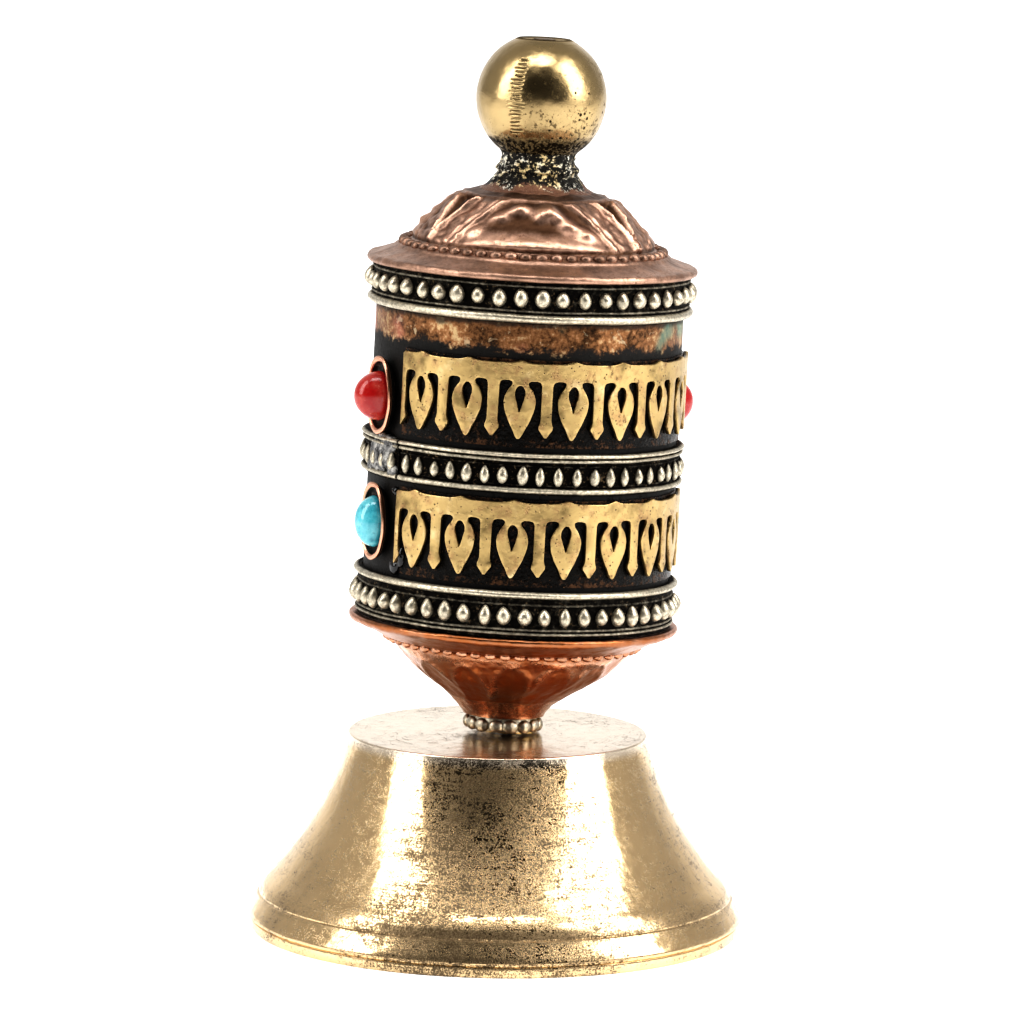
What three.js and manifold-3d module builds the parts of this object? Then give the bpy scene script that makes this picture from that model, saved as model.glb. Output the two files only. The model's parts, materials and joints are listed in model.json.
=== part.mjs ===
// A table-top prayer wheel. A copper drum, dressed with beaded white-metal bands, pierced brass
// friezes and two columns of stones, turns on a steel spindle that is bolted into a bell-shaped
// brass stand. The drum carries a rolled paper scroll, and lifts straight off the spindle.
//
// Millimetres, +Z up, origin at the centre of the stand's foot, and the front faces -Y.
// The spindle of this hand-made object stands a little out of true, so everything on it is
// modelled square to the spindle in one turned group, with its levels counted along the
// spindle from the stand's top face. Angles round the drum start at the front and grow
// towards +X.

import * as THREE from "three";
import { mergeVertices } from "three/addons/utils/BufferGeometryUtils.js";
import Module from "manifold-3d";

const wasm = await Module();
wasm.setup();

// ---------------------------------------------------------------- driving dimensions

// Stand: a hollow bell of turned brass.
const STAND_HEIGHT = 21.0;
const STAND_TOP_RADIUS = 15.65;
const STAND_WALL = 1.9;
const STAND_TOP_PLATE = 2.6;
const FOOT_RADIUS = 26.0;
const FOOT_HEIGHT = 5.9;
const WAIST_OUT = 1.55; // the bell's hollow flank is pulled this far out past its top edge
const WAIST_LEVEL = 13.2; // at this height
const FOOT_LEDGE = 2.4; // how far the foot stands out past the bell
const LIP_HEIGHT = 1.35;
const LIP_GROOVE = 0.25;
const EDGE_BREAK = 0.3; // chamfer on the stand's sharp edges

// Spindle: a steel rod held by a washer and a nut under the stand's top plate.
const SPINDLE_RADIUS = 1.75;
const SPINDLE_TIP = 1.0; // height of the tapered tip
const SPINDLE_TAIL = 1.6; // thread past the nut
const SPINDLE_LEAN = THREE.MathUtils.degToRad(2.6);
const SPINDLE_LEAN_ANGLE = THREE.MathUtils.degToRad(127); // leans to the right and backwards
const SPINDLE_OFFSET = 1.0; // the hole is drilled this far right of the stand's centre
const NUT_ACROSS_FLATS = 6.5;
const NUT_THICKNESS = 2.4;
const STAND_WASHER_RADIUS = 4.2;
const STAND_WASHER_THICKNESS = 0.6;
const THRUST_WASHER_THICKNESS = 0.5;

// Clearances.
const BORE_CLEARANCE = 0.08; // round the spindle in what turns on it
const RUNNING_CLEARANCE = 0.12; // between faces that turn past each other
const HOLE_CLEARANCE = 0.2; // round the spindle in the stand and its washers
const SOLDER_FILM = 0.06; // between pieces that are soldered or glued together

// Drum: the shell and the sleeve that it runs on.
const SHELL_RADIUS = 16.05;
const SHELL_WALL = 0.55;
const SLEEVE_WALL = 0.6;
const BUSH_HEIGHT = 2.6;
const SCROLL_CLEARANCE = 0.8; // between the paper roll and the shell or the lids

// Neck ring: a loop of beaded wire under the lower lid.
const NECK_RADIUS = 4.15;
const NECK_RING_HEIGHT = 1.5;
const NECK_RING_WIDTH = 0.85;

// Lids: two pressed copper domes with flat-coned flanges.
const SHEET = 0.5;
const LID_FLANGE_OVERHANG = 1.15; // past the shell
const LID_FLANGE_RISE = 1.7;
const LID_CORD_INSET = 2.5; // from the shell to the ring of small beads at the dome's foot
const LID_CORD_WIDTH = 1.1;
const LID_DOME_INSET = 3.4; // from the shell to the dome
const UPPER_DOME_HEIGHT = 5.5;
const LOWER_DOME_HEIGHT = 4.9;
const NECK_HEIGHT = 2.7;
const NECK_FLARE_RADIUS = 7.0;

// Bands: beaded white-metal strips. A rib stands this far proud of the band's flat.
const BAND_FLAT = 0.35;
const BEAD_RIB = 1.0;
const WIRE_RIB = 0.45;
const LOWER_BAND_HEIGHT = 4.8;
const MIDDLE_BAND_HEIGHT = 4.3;
const UPPER_BAND_HEIGHT = 4.2;
const MIDDLE_BAND_SLIMMER = 0.5; // its beads stand lower than the other bands'
const BAND_JOINT = THREE.MathUtils.degToRad(1.2); // butt gap in the middle band

// Rows: each holds two friezes on blackened backing strips, between two stones.
const ROW_MARGIN = 0.55; // bare shell between a row and the bands
const BARE_STRIP = 3.75; // shell left uncovered above the upper row
const BACKING_THICKNESS = 0.18;
const FRIEZE_THICKNESS = 0.38;
const FRIEZE_HEIGHT = 7.8;
const FRIEZE_FOOT = 0.9; // backing left uncovered below and above a frieze
const FRIEZE_HEAD = 0.3;
const FRIEZE_RAIL = 1.7;
const FRONT_CELLS = 8; // petals along a front frieze
const BACK_CELLS = 5; // and along a back one, which is that much shorter
const BAR_WIDTH = 1.3;
const PETAL_WIDTH = 3.3;
const PETAL_TIP_WIDTH = 0.5;
const EYE_WIDTH = 1.15;
const EYE_HEIGHT = 2.7;
const STONE_COLUMN = THREE.MathUtils.degToRad(-63.5);
const BACKING_END = THREE.MathUtils.degToRad(12.5); // from the middle of a stone column
const BACK_BACKING_END = THREE.MathUtils.degToRad(26.5);
const BACK_SHIFT = THREE.MathUtils.degToRad(-9); // the back strips sit off the middle of their half
const FRIEZE_END = THREE.MathUtils.degToRad(13.5);

// Stones in oval copper collets.
const COLLET_HALF_WIDTH = 2.6;
const COLLET_HALF_HEIGHT = 4.0;
const COLLET_DEPTH = 0.9;
const COLLET_FLOOR = 0.3;
const COLLET_WALL = 0.35;
const COLLET_SLACK = 0.15; // round a stone in its collet
// A collet's level is above the bottom of its row. The right stone sits lower in its collet by drop.
const CORAL = { halfHeight: 2.6, rise: 3.1, level: 3.6, drop: 0.7 };
const TURQUOISE = { halfHeight: 2.7, rise: 2.2, level: 4.85, drop: 0 };

// Finial: a cast collar, and a turned ball on a stud.
const COLLAR_FOOT_RADIUS = 5.8;
const COLLAR_RADIUS = 4.05;
const COLLAR_HEIGHT = 3.85;
const COLLAR_FOOT_HEIGHT = 1.7;
const STUD_RADIUS = 1.15;
const STUD_SEAT = 1.6; // how deep the stud sits in the collar
const BALL_RADIUS = 6.8;
const BALL_FLAT_RADIUS = 2.7;

// Facets round each kind of piece.
const ROUND = 32;
const SMALL_ROUND = 20;

// ---------------------------------------------------------------- levels up the spindle

const rowHeight = FRIEZE_FOOT + FRIEZE_HEIGHT + FRIEZE_HEAD;
const lidFlangeRadius = SHELL_RADIUS + LID_FLANGE_OVERHANG;
const lidCordRadius = SHELL_RADIUS - LID_CORD_INSET;
const lidDomeRadius = SHELL_RADIUS - LID_DOME_INSET;
const thrustWasherRadius = NECK_RADIUS - NECK_RING_WIDTH - RUNNING_CLEARANCE;

const leanDrop = (radius) => radius * Math.sin(SPINDLE_LEAN);
const ringBottom = leanDrop(NECK_RADIUS) + RUNNING_CLEARANCE;
const ringTop = ringBottom + NECK_RING_HEIGHT;
const neckBottom = ringTop + SOLDER_FILM;
const lowerFlange = neckBottom + NECK_HEIGHT + LOWER_DOME_HEIGHT + LID_FLANGE_RISE + LID_CORD_WIDTH / 2;
const lowerBandBottom = lowerFlange + SHEET + SOLDER_FILM;
const lowerRowBottom = lowerBandBottom + LOWER_BAND_HEIGHT + ROW_MARGIN;
const middleBandBottom = lowerRowBottom + rowHeight + ROW_MARGIN;
const upperRowBottom = middleBandBottom + MIDDLE_BAND_HEIGHT + ROW_MARGIN;
const upperBandBottom = upperRowBottom + rowHeight + BARE_STRIP;
const upperFlange = upperBandBottom + UPPER_BAND_HEIGHT + SOLDER_FILM;
const upperDomeTop = upperFlange + SHEET + LID_FLANGE_RISE + LID_CORD_WIDTH / 2 + UPPER_DOME_HEIGHT;
const collarBottom = upperDomeTop + SOLDER_FILM;
const collarTop = collarBottom + COLLAR_HEIGHT;
const ballCentre = collarTop + SOLDER_FILM + Math.sqrt(BALL_RADIUS ** 2 - COLLAR_RADIUS ** 2);
const ballTop = ballCentre + Math.sqrt(BALL_RADIUS ** 2 - BALL_FLAT_RADIUS ** 2);

const thrustWasherBottom = leanDrop(thrustWasherRadius) + RUNNING_CLEARANCE;
const sleeveBottom = thrustWasherBottom + THRUST_WASHER_THICKNESS + RUNNING_CLEARANCE;
const sleeveTop = collarTop - STUD_SEAT - SOLDER_FILM;
const spindleTop = sleeveTop - STUD_SEAT;
const plateUnderside = -STAND_TOP_PLATE;

const sleeveBore = SPINDLE_RADIUS + BORE_CLEARANCE;
const sleeveRadius = sleeveBore + SLEEVE_WALL;
const seatRadius = sleeveRadius + SOLDER_FILM; // what fits round the sleeve
const overShell = SHELL_RADIUS + SOLDER_FILM; // what is wrapped round the shell

// ---------------------------------------------------------------- shapes

// A solid of revolution about Z. Its outline is [radius, level] points, anticlockwise as seen
// with the radius to the right. It starts and ends on the axis, or is closed here.
function turned(outline, facets = ROUND) {
  const points = outline.map(([radius, level]) => new THREE.Vector2(radius, level));
  const onAxis = outline[0][0] === 0 && outline.at(-1)[0] === 0;
  if (!onAxis) points.push(points[0].clone());
  return new THREE.LatheGeometry(points, facets).rotateX(Math.PI / 2);
}

// A plain tube or washer.
function tube(inner, outer, bottom, top, facets = SMALL_ROUND) {
  return turned([[inner, bottom], [outer, bottom], [outer, top], [inner, top]], facets);
}

// Points along a smooth curve from one [radius, level] point to another, past one pull point.
function bend(from, pull, to, steps) {
  const curve = new THREE.QuadraticBezierCurve(
    new THREE.Vector2(...from),
    new THREE.Vector2(...pull),
    new THREE.Vector2(...to),
  );
  return curve.getPoints(steps).map((p) => [p.x, p.y]);
}

// The place on the drum at an angle, radius and level: local X runs round, Y up and Z out.
function facing(angle, radius, level) {
  const outward = new THREE.Vector3(Math.sin(angle), -Math.cos(angle), 0);
  const around = new THREE.Vector3(Math.cos(angle), Math.sin(angle), 0);
  const place = new THREE.Matrix4().makeBasis(around, new THREE.Vector3(0, 0, 1), outward);
  return place.setPosition(outward.multiplyScalar(radius).setZ(level));
}

function solidOf(geometry) {
  const bare = geometry.clone();
  bare.deleteAttribute("normal");
  bare.deleteAttribute("uv");
  const merged = mergeVertices(bare);
  return new wasm.Manifold(
    new wasm.Mesh({
      numProp: 3,
      vertProperties: merged.getAttribute("position").array,
      triVerts: new Uint32Array(merged.getIndex().array),
    }),
  );
}

function geometryOf(solid) {
  const mesh = solid.getMesh();
  const geometry = new THREE.BufferGeometry();
  geometry.setAttribute("position", new THREE.BufferAttribute(mesh.vertProperties, 3));
  geometry.setIndex(new THREE.BufferAttribute(mesh.triVerts, 1));
  geometry.computeVertexNormals();
  return geometry;
}

// A prism standing on the XY plane that holds everything between two angles.
function wedge(from, to, radius, bottom, top) {
  const steps = Math.max(1, Math.ceil((to - from) / (Math.PI / 6)));
  const outline = new THREE.Shape();
  outline.moveTo(0, 0);
  for (let i = 0; i <= steps; i += 1) {
    const angle = from + ((to - from) * i) / steps;
    outline.lineTo(2 * radius * Math.sin(angle), -2 * radius * Math.cos(angle));
  }
  const prism = new THREE.ExtrudeGeometry(outline, { depth: top - bottom, bevelEnabled: false });
  return solidOf(prism.translate(0, 0, bottom));
}

// A strip of a tube between two angles.
function strip(inner, outer, bottom, top, from, to) {
  const whole = solidOf(tube(inner, outer, bottom, top, ROUND));
  return whole.intersect(wedge(from, to, outer, bottom - 1, top + 1));
}

// ---------------------------------------------------------------- stand

function standGeometry() {
  const bellFoot = FOOT_RADIUS - FOOT_LEDGE;
  const waistRadius = STAND_TOP_RADIUS + WAIST_OUT;
  const flank = (wall, top, bottom) =>
    bend(
      [STAND_TOP_RADIUS - wall, top],
      [waistRadius - wall, WAIST_LEVEL - wall / 2],
      [bellFoot - wall, bottom],
      5,
    );
  const innerFlank = flank(STAND_WALL, STAND_HEIGHT - STAND_TOP_PLATE, FOOT_HEIGHT - STAND_WALL);
  const outerFlank = flank(0, STAND_HEIGHT - EDGE_BREAK, FOOT_HEIGHT).reverse();
  const outline = [
    [0, STAND_HEIGHT - STAND_TOP_PLATE],
    ...innerFlank,
    [bellFoot - STAND_WALL, 0],
    [FOOT_RADIUS - LIP_GROOVE - EDGE_BREAK, 0],
    [FOOT_RADIUS - LIP_GROOVE, EDGE_BREAK],
    [FOOT_RADIUS - LIP_GROOVE, LIP_HEIGHT],
    [FOOT_RADIUS, LIP_HEIGHT + LIP_GROOVE],
    [FOOT_RADIUS - FOOT_LEDGE / 3, FOOT_HEIGHT - FOOT_LEDGE / 2],
    [FOOT_RADIUS - FOOT_LEDGE * 0.6, FOOT_HEIGHT - EDGE_BREAK],
    ...outerFlank,
    [STAND_TOP_RADIUS - EDGE_BREAK, STAND_HEIGHT],
    [0, STAND_HEIGHT],
  ];
  const bell = solidOf(turned(outline));
  const drill = turned([
    [0, -2 * STAND_TOP_PLATE],
    [SPINDLE_RADIUS + HOLE_CLEARANCE, -2 * STAND_TOP_PLATE],
    [SPINDLE_RADIUS + HOLE_CLEARANCE, STAND_TOP_PLATE],
    [0, STAND_TOP_PLATE],
  ], SMALL_ROUND);
  return geometryOf(bell.subtract(solidOf(drill.applyMatrix4(spindleMatrix))));
}

function spindleGeometry() {
  const tail = plateUnderside - STAND_WASHER_THICKNESS - NUT_THICKNESS - SPINDLE_TAIL - 2 * HOLE_CLEARANCE;
  return turned([
    [0, tail],
    [SPINDLE_RADIUS - EDGE_BREAK, tail],
    [SPINDLE_RADIUS, tail + EDGE_BREAK],
    [SPINDLE_RADIUS, spindleTop - SPINDLE_TIP],
    [SPINDLE_RADIUS / 3, spindleTop],
    [0, spindleTop],
  ], SMALL_ROUND);
}

// The washer and the nut hang just clear of the plate, which the spindle meets at a slant.
const standWasherTop = plateUnderside - leanDrop(STAND_WASHER_RADIUS) - SOLDER_FILM;
const nutTop = standWasherTop - STAND_WASHER_THICKNESS - SOLDER_FILM;

function standWasherGeometry() {
  const bottom = standWasherTop - STAND_WASHER_THICKNESS;
  return tube(SPINDLE_RADIUS + HOLE_CLEARANCE, STAND_WASHER_RADIUS, bottom, standWasherTop);
}

function nutGeometry() {
  const hexagon = new THREE.Shape();
  const corner = NUT_ACROSS_FLATS / Math.sqrt(3);
  for (let i = 0; i < 6; i += 1) {
    const angle = (i * Math.PI) / 3;
    hexagon[i ? "lineTo" : "moveTo"](corner * Math.cos(angle), corner * Math.sin(angle));
  }
  hexagon.closePath();
  const bore = new THREE.Path().absarc(0, 0, SPINDLE_RADIUS + HOLE_CLEARANCE, 0, 2 * Math.PI, true);
  hexagon.holes.push(bore);
  const settings = { depth: NUT_THICKNESS, bevelEnabled: false, curveSegments: 12 };
  return new THREE.ExtrudeGeometry(hexagon, settings).translate(0, 0, nutTop - NUT_THICKNESS);
}

function thrustWasherGeometry() {
  const top = thrustWasherBottom + THRUST_WASHER_THICKNESS;
  return tube(sleeveBore, thrustWasherRadius, thrustWasherBottom, top);
}

// ---------------------------------------------------------------- lids

// One side of a lid's sheet, from the rim of its flange in to the dome's top, by how far each
// point stands out from the flange's rim.
function domeLine(domeHeight, inset) {
  const cordTop = LID_FLANGE_RISE + LID_CORD_WIDTH / 2;
  return [
    [lidFlangeRadius - inset, 0],
    [lidCordRadius + LID_CORD_WIDTH / 2 - inset, LID_FLANGE_RISE],
    [lidCordRadius - inset, cordTop],
    ...bend(
      [lidDomeRadius - inset, cordTop],
      [lidDomeRadius - domeHeight / 3 - inset, domeHeight * 1.15],
      [NECK_FLARE_RADIUS - inset, cordTop + domeHeight],
      3,
    ),
  ];
}

function upperLidGeometry() {
  const outside = domeLine(UPPER_DOME_HEIGHT, 0);
  const inside = domeLine(UPPER_DOME_HEIGHT, SHEET).reverse();
  return turned([
    [seatRadius, upperDomeTop - SHEET],
    ...inside.map(([radius, rise]) => [radius, upperFlange + rise]),
    [lidFlangeRadius, upperFlange],
    ...outside.map(([radius, rise]) => [radius, upperFlange + SHEET + rise]),
    [seatRadius, upperDomeTop],
  ]);
}

function lowerLidGeometry() {
  const flare = neckBottom + NECK_HEIGHT;
  const neck = (inset) =>
    bend([NECK_FLARE_RADIUS - inset, flare], [NECK_RADIUS - inset, flare - SHEET], [NECK_RADIUS - inset, neckBottom], 3);
  const outside = domeLine(LOWER_DOME_HEIGHT, 0);
  const inside = domeLine(LOWER_DOME_HEIGHT, SHEET).reverse();
  return turned([
    ...neck(0).reverse().slice(0, -1),
    ...outside.reverse().map(([radius, drop]) => [radius, lowerFlange - drop]),
    [lidFlangeRadius, lowerFlange + SHEET],
    ...inside.reverse().map(([radius, drop]) => [radius, lowerFlange + SHEET - drop]),
    ...neck(SHEET).slice(1),
  ]);
}

// ---------------------------------------------------------------- shell and running gear

function shellGeometry() {
  return tube(SHELL_RADIUS - SHELL_WALL, SHELL_RADIUS, lowerBandBottom, upperFlange - SOLDER_FILM, ROUND);
}

function sleeveGeometry() {
  return tube(sleeveBore, sleeveRadius, sleeveBottom, sleeveTop);
}

// The lower bush centres the sleeve in the lid's neck, and the upper one in the dome.
function lowerBushGeometry() {
  return tube(seatRadius, NECK_RADIUS - SHEET - SOLDER_FILM, neckBottom, neckBottom + BUSH_HEIGHT);
}

function upperBushGeometry() {
  const top = upperDomeTop - SHEET - SOLDER_FILM;
  return tube(seatRadius, NECK_FLARE_RADIUS - 2 * SHEET, top - BUSH_HEIGHT, top);
}

function scrollGeometry() {
  const bottom = lowerBandBottom + SCROLL_CLEARANCE;
  const top = upperFlange - SCROLL_CLEARANCE;
  return tube(seatRadius, SHELL_RADIUS - SHELL_WALL - SCROLL_CLEARANCE, bottom, top, ROUND);
}

function neckRingGeometry() {
  const inner = NECK_RADIUS - NECK_RING_WIDTH;
  const third = NECK_RING_HEIGHT / 3;
  return turned([
    [inner, ringBottom],
    [NECK_RADIUS - third / 2, ringBottom],
    [NECK_RADIUS, ringBottom + third],
    [NECK_RADIUS, ringTop - third],
    [NECK_RADIUS - third / 2, ringTop],
    [inner, ringTop],
  ], SMALL_ROUND);
}

// ---------------------------------------------------------------- bands

// A flat strip round the shell with a rib for the beads and a plain wire at each edge.
// beads and wires are the middles of the ribs, as heights up the band.
function bandGeometry(bottom, height, beads, beadWidth, lowWire, highWire, slimmer = 0) {
  const flat = overShell + BAND_FLAT;
  const rib = (middle, width, proud) => [
    [flat, bottom + middle - width / 2],
    [flat + proud, bottom + middle],
    [flat, bottom + middle + width / 2],
  ];
  return turned([
    [overShell, bottom],
    [flat, bottom],
    ...rib(lowWire.middle, lowWire.width, WIRE_RIB),
    ...rib(beads, beadWidth, BEAD_RIB - slimmer),
    ...rib(highWire.middle, highWire.width, WIRE_RIB),
    [flat, bottom + height],
    [overShell, bottom + height],
  ]);
}

function lowerBandGeometry() {
  const low = { middle: 0.65, width: 0.6 };
  const high = { middle: LOWER_BAND_HEIGHT - 0.6, width: 0.9 };
  return bandGeometry(lowerBandBottom, LOWER_BAND_HEIGHT, 2.1, 1.5, low, high);
}

function middleBandGeometry() {
  const low = { middle: 0.35, width: 0.5 };
  const high = { middle: MIDDLE_BAND_HEIGHT - 0.55, width: 0.9 };
  const whole = bandGeometry(middleBandBottom, MIDDLE_BAND_HEIGHT, 1.85, 1.3, low, high, MIDDLE_BAND_SLIMMER);
  const joint = STONE_COLUMN + BACKING_END;
  const top = middleBandBottom + MIDDLE_BAND_HEIGHT;
  const gap = wedge(joint, joint + BAND_JOINT, SHELL_RADIUS, middleBandBottom - 1, top + 1);
  return geometryOf(solidOf(whole).subtract(gap));
}

function upperBandGeometry() {
  const low = { middle: 0.5, width: 0.9 };
  const high = { middle: UPPER_BAND_HEIGHT - 0.4, width: 0.6 };
  return bandGeometry(upperBandBottom, UPPER_BAND_HEIGHT, 2.4, 1.4, low, high);
}

// ---------------------------------------------------------------- friezes

const halfTurns = [0, Math.PI];
const friezeSpan = Math.PI - 2 * FRIEZE_END;
const friezeInner = overShell + BACKING_THICKNESS + SOLDER_FILM;
const friezeOuter = friezeInner + FRIEZE_THICKNESS;

function backingGeometry(rowBottom, turn, end) {
  const from = STONE_COLUMN + end + turn;
  const to = STONE_COLUMN + Math.PI - end + turn;
  const outer = overShell + BACKING_THICKNESS;
  return geometryOf(strip(overShell, outer, rowBottom, rowBottom + rowHeight, from, to));
}

// The opening to the right of a bar: it runs down from the rail, along the flank of the petal
// in the middle of the cell, and out through the lower edge. Mirrored, it is the left one.
function gapShape(cellWidth, railBottom, side) {
  const barEdge = cellWidth / 2 - BAR_WIDTH / 2;
  const outline = [
    [PETAL_WIDTH / 2, railBottom],
    [barEdge, railBottom],
    [barEdge, BAR_WIDTH / 2],
    [barEdge - BAR_WIDTH / 4, -1],
    [PETAL_TIP_WIDTH / 2, -1],
    [PETAL_TIP_WIDTH / 2, 0.2],
    [PETAL_WIDTH / 2 - PETAL_TIP_WIDTH / 2, railBottom / 2.4],
  ];
  const points = outline.map(([x, y]) => new THREE.Vector2(side * x, y));
  return new THREE.Shape(side > 0 ? points : points.reverse());
}

// The kite-shaped eye in the middle of each petal.
function eyeShape(railBottom) {
  const top = railBottom - FRIEZE_RAIL * 0.35;
  return new THREE.Shape([
    new THREE.Vector2(0, top - EYE_HEIGHT),
    new THREE.Vector2(EYE_WIDTH / 2, top - EYE_WIDTH / 2),
    new THREE.Vector2(0, top),
    new THREE.Vector2(-EYE_WIDTH / 2, top - EYE_WIDTH / 2),
  ]);
}

// A frieze: a rail with petals and bars hanging from it, cut out of one strip of sheet.
function friezeGeometry(rowBottom, turn, cells) {
  const bottom = rowBottom + FRIEZE_FOOT;
  const cell = friezeSpan / FRONT_CELLS;
  const span = cell * cells;
  const from = STONE_COLUMN + FRIEZE_END + turn + (friezeSpan - span) / 2;
  const cellWidth = cell * friezeOuter;
  const railBottom = FRIEZE_HEIGHT - FRIEZE_RAIL;
  const cuts = [gapShape(cellWidth, railBottom, 1), gapShape(cellWidth, railBottom, -1), eyeShape(railBottom)];
  const settings = { depth: 3 * FRIEZE_THICKNESS, bevelEnabled: false };
  const tools = cuts.map((shape) => new THREE.ExtrudeGeometry(shape, settings));
  let plate = strip(friezeInner, friezeOuter, bottom, bottom + FRIEZE_HEIGHT, from, from + span);
  for (let i = 0; i < cells; i += 1) {
    const place = facing(from + cell * (i + 0.5), friezeInner - FRIEZE_THICKNESS, bottom);
    tools.forEach((tool) => {
      plate = plate.subtract(solidOf(tool.clone().applyMatrix4(place)));
    });
  }
  return geometryOf(plate);
}

// ---------------------------------------------------------------- stones

// An oval cup. Its flat floor stands off the shell, and its wall leans round the stone.
function colletGeometry() {
  const oval = turned([
    [0, 0],
    [1 - 0.06, 0],
    [1, COLLET_DEPTH],
    [1 - COLLET_WALL / COLLET_HALF_WIDTH, COLLET_DEPTH],
    [1 - COLLET_WALL / COLLET_HALF_WIDTH, COLLET_FLOOR],
    [0, COLLET_FLOOR],
  ], SMALL_ROUND);
  return oval.scale(COLLET_HALF_WIDTH, COLLET_HALF_HEIGHT, 1);
}

function stoneGeometry(stone) {
  const innerShare = 1 - COLLET_WALL / COLLET_HALF_WIDTH;
  const halfWidth = COLLET_HALF_WIDTH * innerShare - COLLET_SLACK;
  const dome = [[0, 0]];
  const steps = 4;
  for (let i = 0; i <= steps; i += 1) {
    const angle = (i * Math.PI) / 2 / steps;
    dome.push([i === steps ? 0 : Math.cos(angle), stone.rise * Math.sin(angle)]);
  }
  return turned(dome, SMALL_ROUND).scale(halfWidth, stone.halfHeight, 1);
}

// ---------------------------------------------------------------- finial

function collarGeometry() {
  const step = sleeveTop + SOLDER_FILM;
  return turned([
    [seatRadius, collarBottom],
    [COLLAR_FOOT_RADIUS, collarBottom],
    ...bend(
      [COLLAR_FOOT_RADIUS - EDGE_BREAK, collarBottom + EDGE_BREAK],
      [COLLAR_RADIUS, collarBottom + 2 * EDGE_BREAK],
      [COLLAR_RADIUS, collarBottom + COLLAR_FOOT_HEIGHT],
      3,
    ),
    [COLLAR_RADIUS, collarTop],
    [STUD_RADIUS + SOLDER_FILM, collarTop],
    [STUD_RADIUS + SOLDER_FILM, step],
    [seatRadius, step],
  ], SMALL_ROUND);
}

function studGeometry() {
  const bottom = sleeveTop + 2 * SOLDER_FILM;
  return turned([
    [0, bottom],
    [STUD_RADIUS, bottom],
    [STUD_RADIUS, ballTop - SOLDER_FILM],
    [0, ballTop - SOLDER_FILM],
  ], SMALL_ROUND);
}

function ballGeometry() {
  const low = Math.asin((collarTop + SOLDER_FILM - ballCentre) / BALL_RADIUS);
  const high = Math.asin((ballTop - ballCentre) / BALL_RADIUS);
  const steps = 7;
  const outline = [[STUD_RADIUS + SOLDER_FILM, collarTop + SOLDER_FILM]];
  for (let i = 0; i <= steps; i += 1) {
    const angle = low + ((high - low) * i) / steps;
    outline.push([BALL_RADIUS * Math.cos(angle), ballCentre + BALL_RADIUS * Math.sin(angle)]);
  }
  outline.push([STUD_RADIUS + SOLDER_FILM, ballTop]);
  return turned(outline, SMALL_ROUND);
}

// ---------------------------------------------------------------- materials and assembly

const metal = (color, roughness, metalness = 1) => new THREE.MeshStandardMaterial({ color, roughness, metalness });
const brass = metal(0xc9a560, 0.25);
const friezeBrass = metal(0xd0a850, 0.35);
const copper = metal(0xb06a48, 0.3);
const oldCopper = metal(0x6e4a36, 0.5);
const whiteMetal = metal(0xc9c2a8, 0.35);
const blackened = metal(0x1c1815, 0.55, 0.4);
const castBrass = metal(0x4b4333, 0.6);
const steel = metal(0x9a9a98, 0.35);
const paper = metal(0xe6d9b8, 0.9, 0);
const coral = metal(0xb3231f, 0.2, 0);
const turquoise = metal(0x4fb6cc, 0.2, 0);

const root = new THREE.Group();
const onSpindle = new THREE.Group();
const leanAxis = new THREE.Vector3(Math.cos(SPINDLE_LEAN_ANGLE), Math.sin(SPINDLE_LEAN_ANGLE), 0);
onSpindle.position.set(SPINDLE_OFFSET, 0, STAND_HEIGHT);
onSpindle.quaternion.setFromAxisAngle(leanAxis, SPINDLE_LEAN);
onSpindle.updateMatrix();
const spindleMatrix = onSpindle.matrix.clone();
root.add(onSpindle);

function add(group, name, geometry, material) {
  const mesh = new THREE.Mesh(geometry, material);
  mesh.name = name;
  group.add(mesh);
  return mesh;
}

add(root, "stand_bell", standGeometry(), brass);
add(onSpindle, "spindle", spindleGeometry(), steel);
add(onSpindle, "stand_washer", standWasherGeometry(), steel);
add(onSpindle, "spindle_nut", nutGeometry(), steel);
add(onSpindle, "thrust_washer", thrustWasherGeometry(), brass);

add(onSpindle, "neck_ring", neckRingGeometry(), whiteMetal);
add(onSpindle, "lower_lid", lowerLidGeometry(), copper);
add(onSpindle, "lower_bush", lowerBushGeometry(), brass);
add(onSpindle, "drum_sleeve", sleeveGeometry(), brass);
add(onSpindle, "paper_scroll", scrollGeometry(), paper);
add(onSpindle, "drum_shell", shellGeometry(), oldCopper);
add(onSpindle, "lower_band", lowerBandGeometry(), whiteMetal);
add(onSpindle, "middle_band", middleBandGeometry(), whiteMetal);
add(onSpindle, "upper_band", upperBandGeometry(), whiteMetal);

const rows = [
  { name: "lower", bottom: lowerRowBottom, stone: TURQUOISE, stoneName: "turquoise", finish: turquoise },
  { name: "upper", bottom: upperRowBottom, stone: CORAL, stoneName: "coral", finish: coral },
];
const sides = ["front", "back"];
const cells = [FRONT_CELLS, BACK_CELLS];
const ends = [BACKING_END, BACK_BACKING_END];
const columns = ["left", "right"];
rows.forEach((row) => {
  halfTurns.forEach((turn, i) => {
    const middle = turn + i * BACK_SHIFT;
    add(onSpindle, `${row.name}_backing_${sides[i]}`, backingGeometry(row.bottom, middle, ends[i]), blackened);
    add(onSpindle, `${row.name}_frieze_${sides[i]}`, friezeGeometry(row.bottom, middle, cells[i]), friezeBrass);
    const level = row.bottom + row.stone.level;
    const collet = add(onSpindle, `${row.name}_collet_${columns[i]}`, colletGeometry(), copper);
    collet.applyMatrix4(facing(STONE_COLUMN + turn, overShell, level));
    const stone = add(onSpindle, `${row.stoneName}_${columns[i]}`, stoneGeometry(row.stone), row.finish);
    const seat = overShell + COLLET_FLOOR + SOLDER_FILM;
    stone.applyMatrix4(facing(STONE_COLUMN + turn, seat, level - i * row.stone.drop));
  });
});

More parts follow.
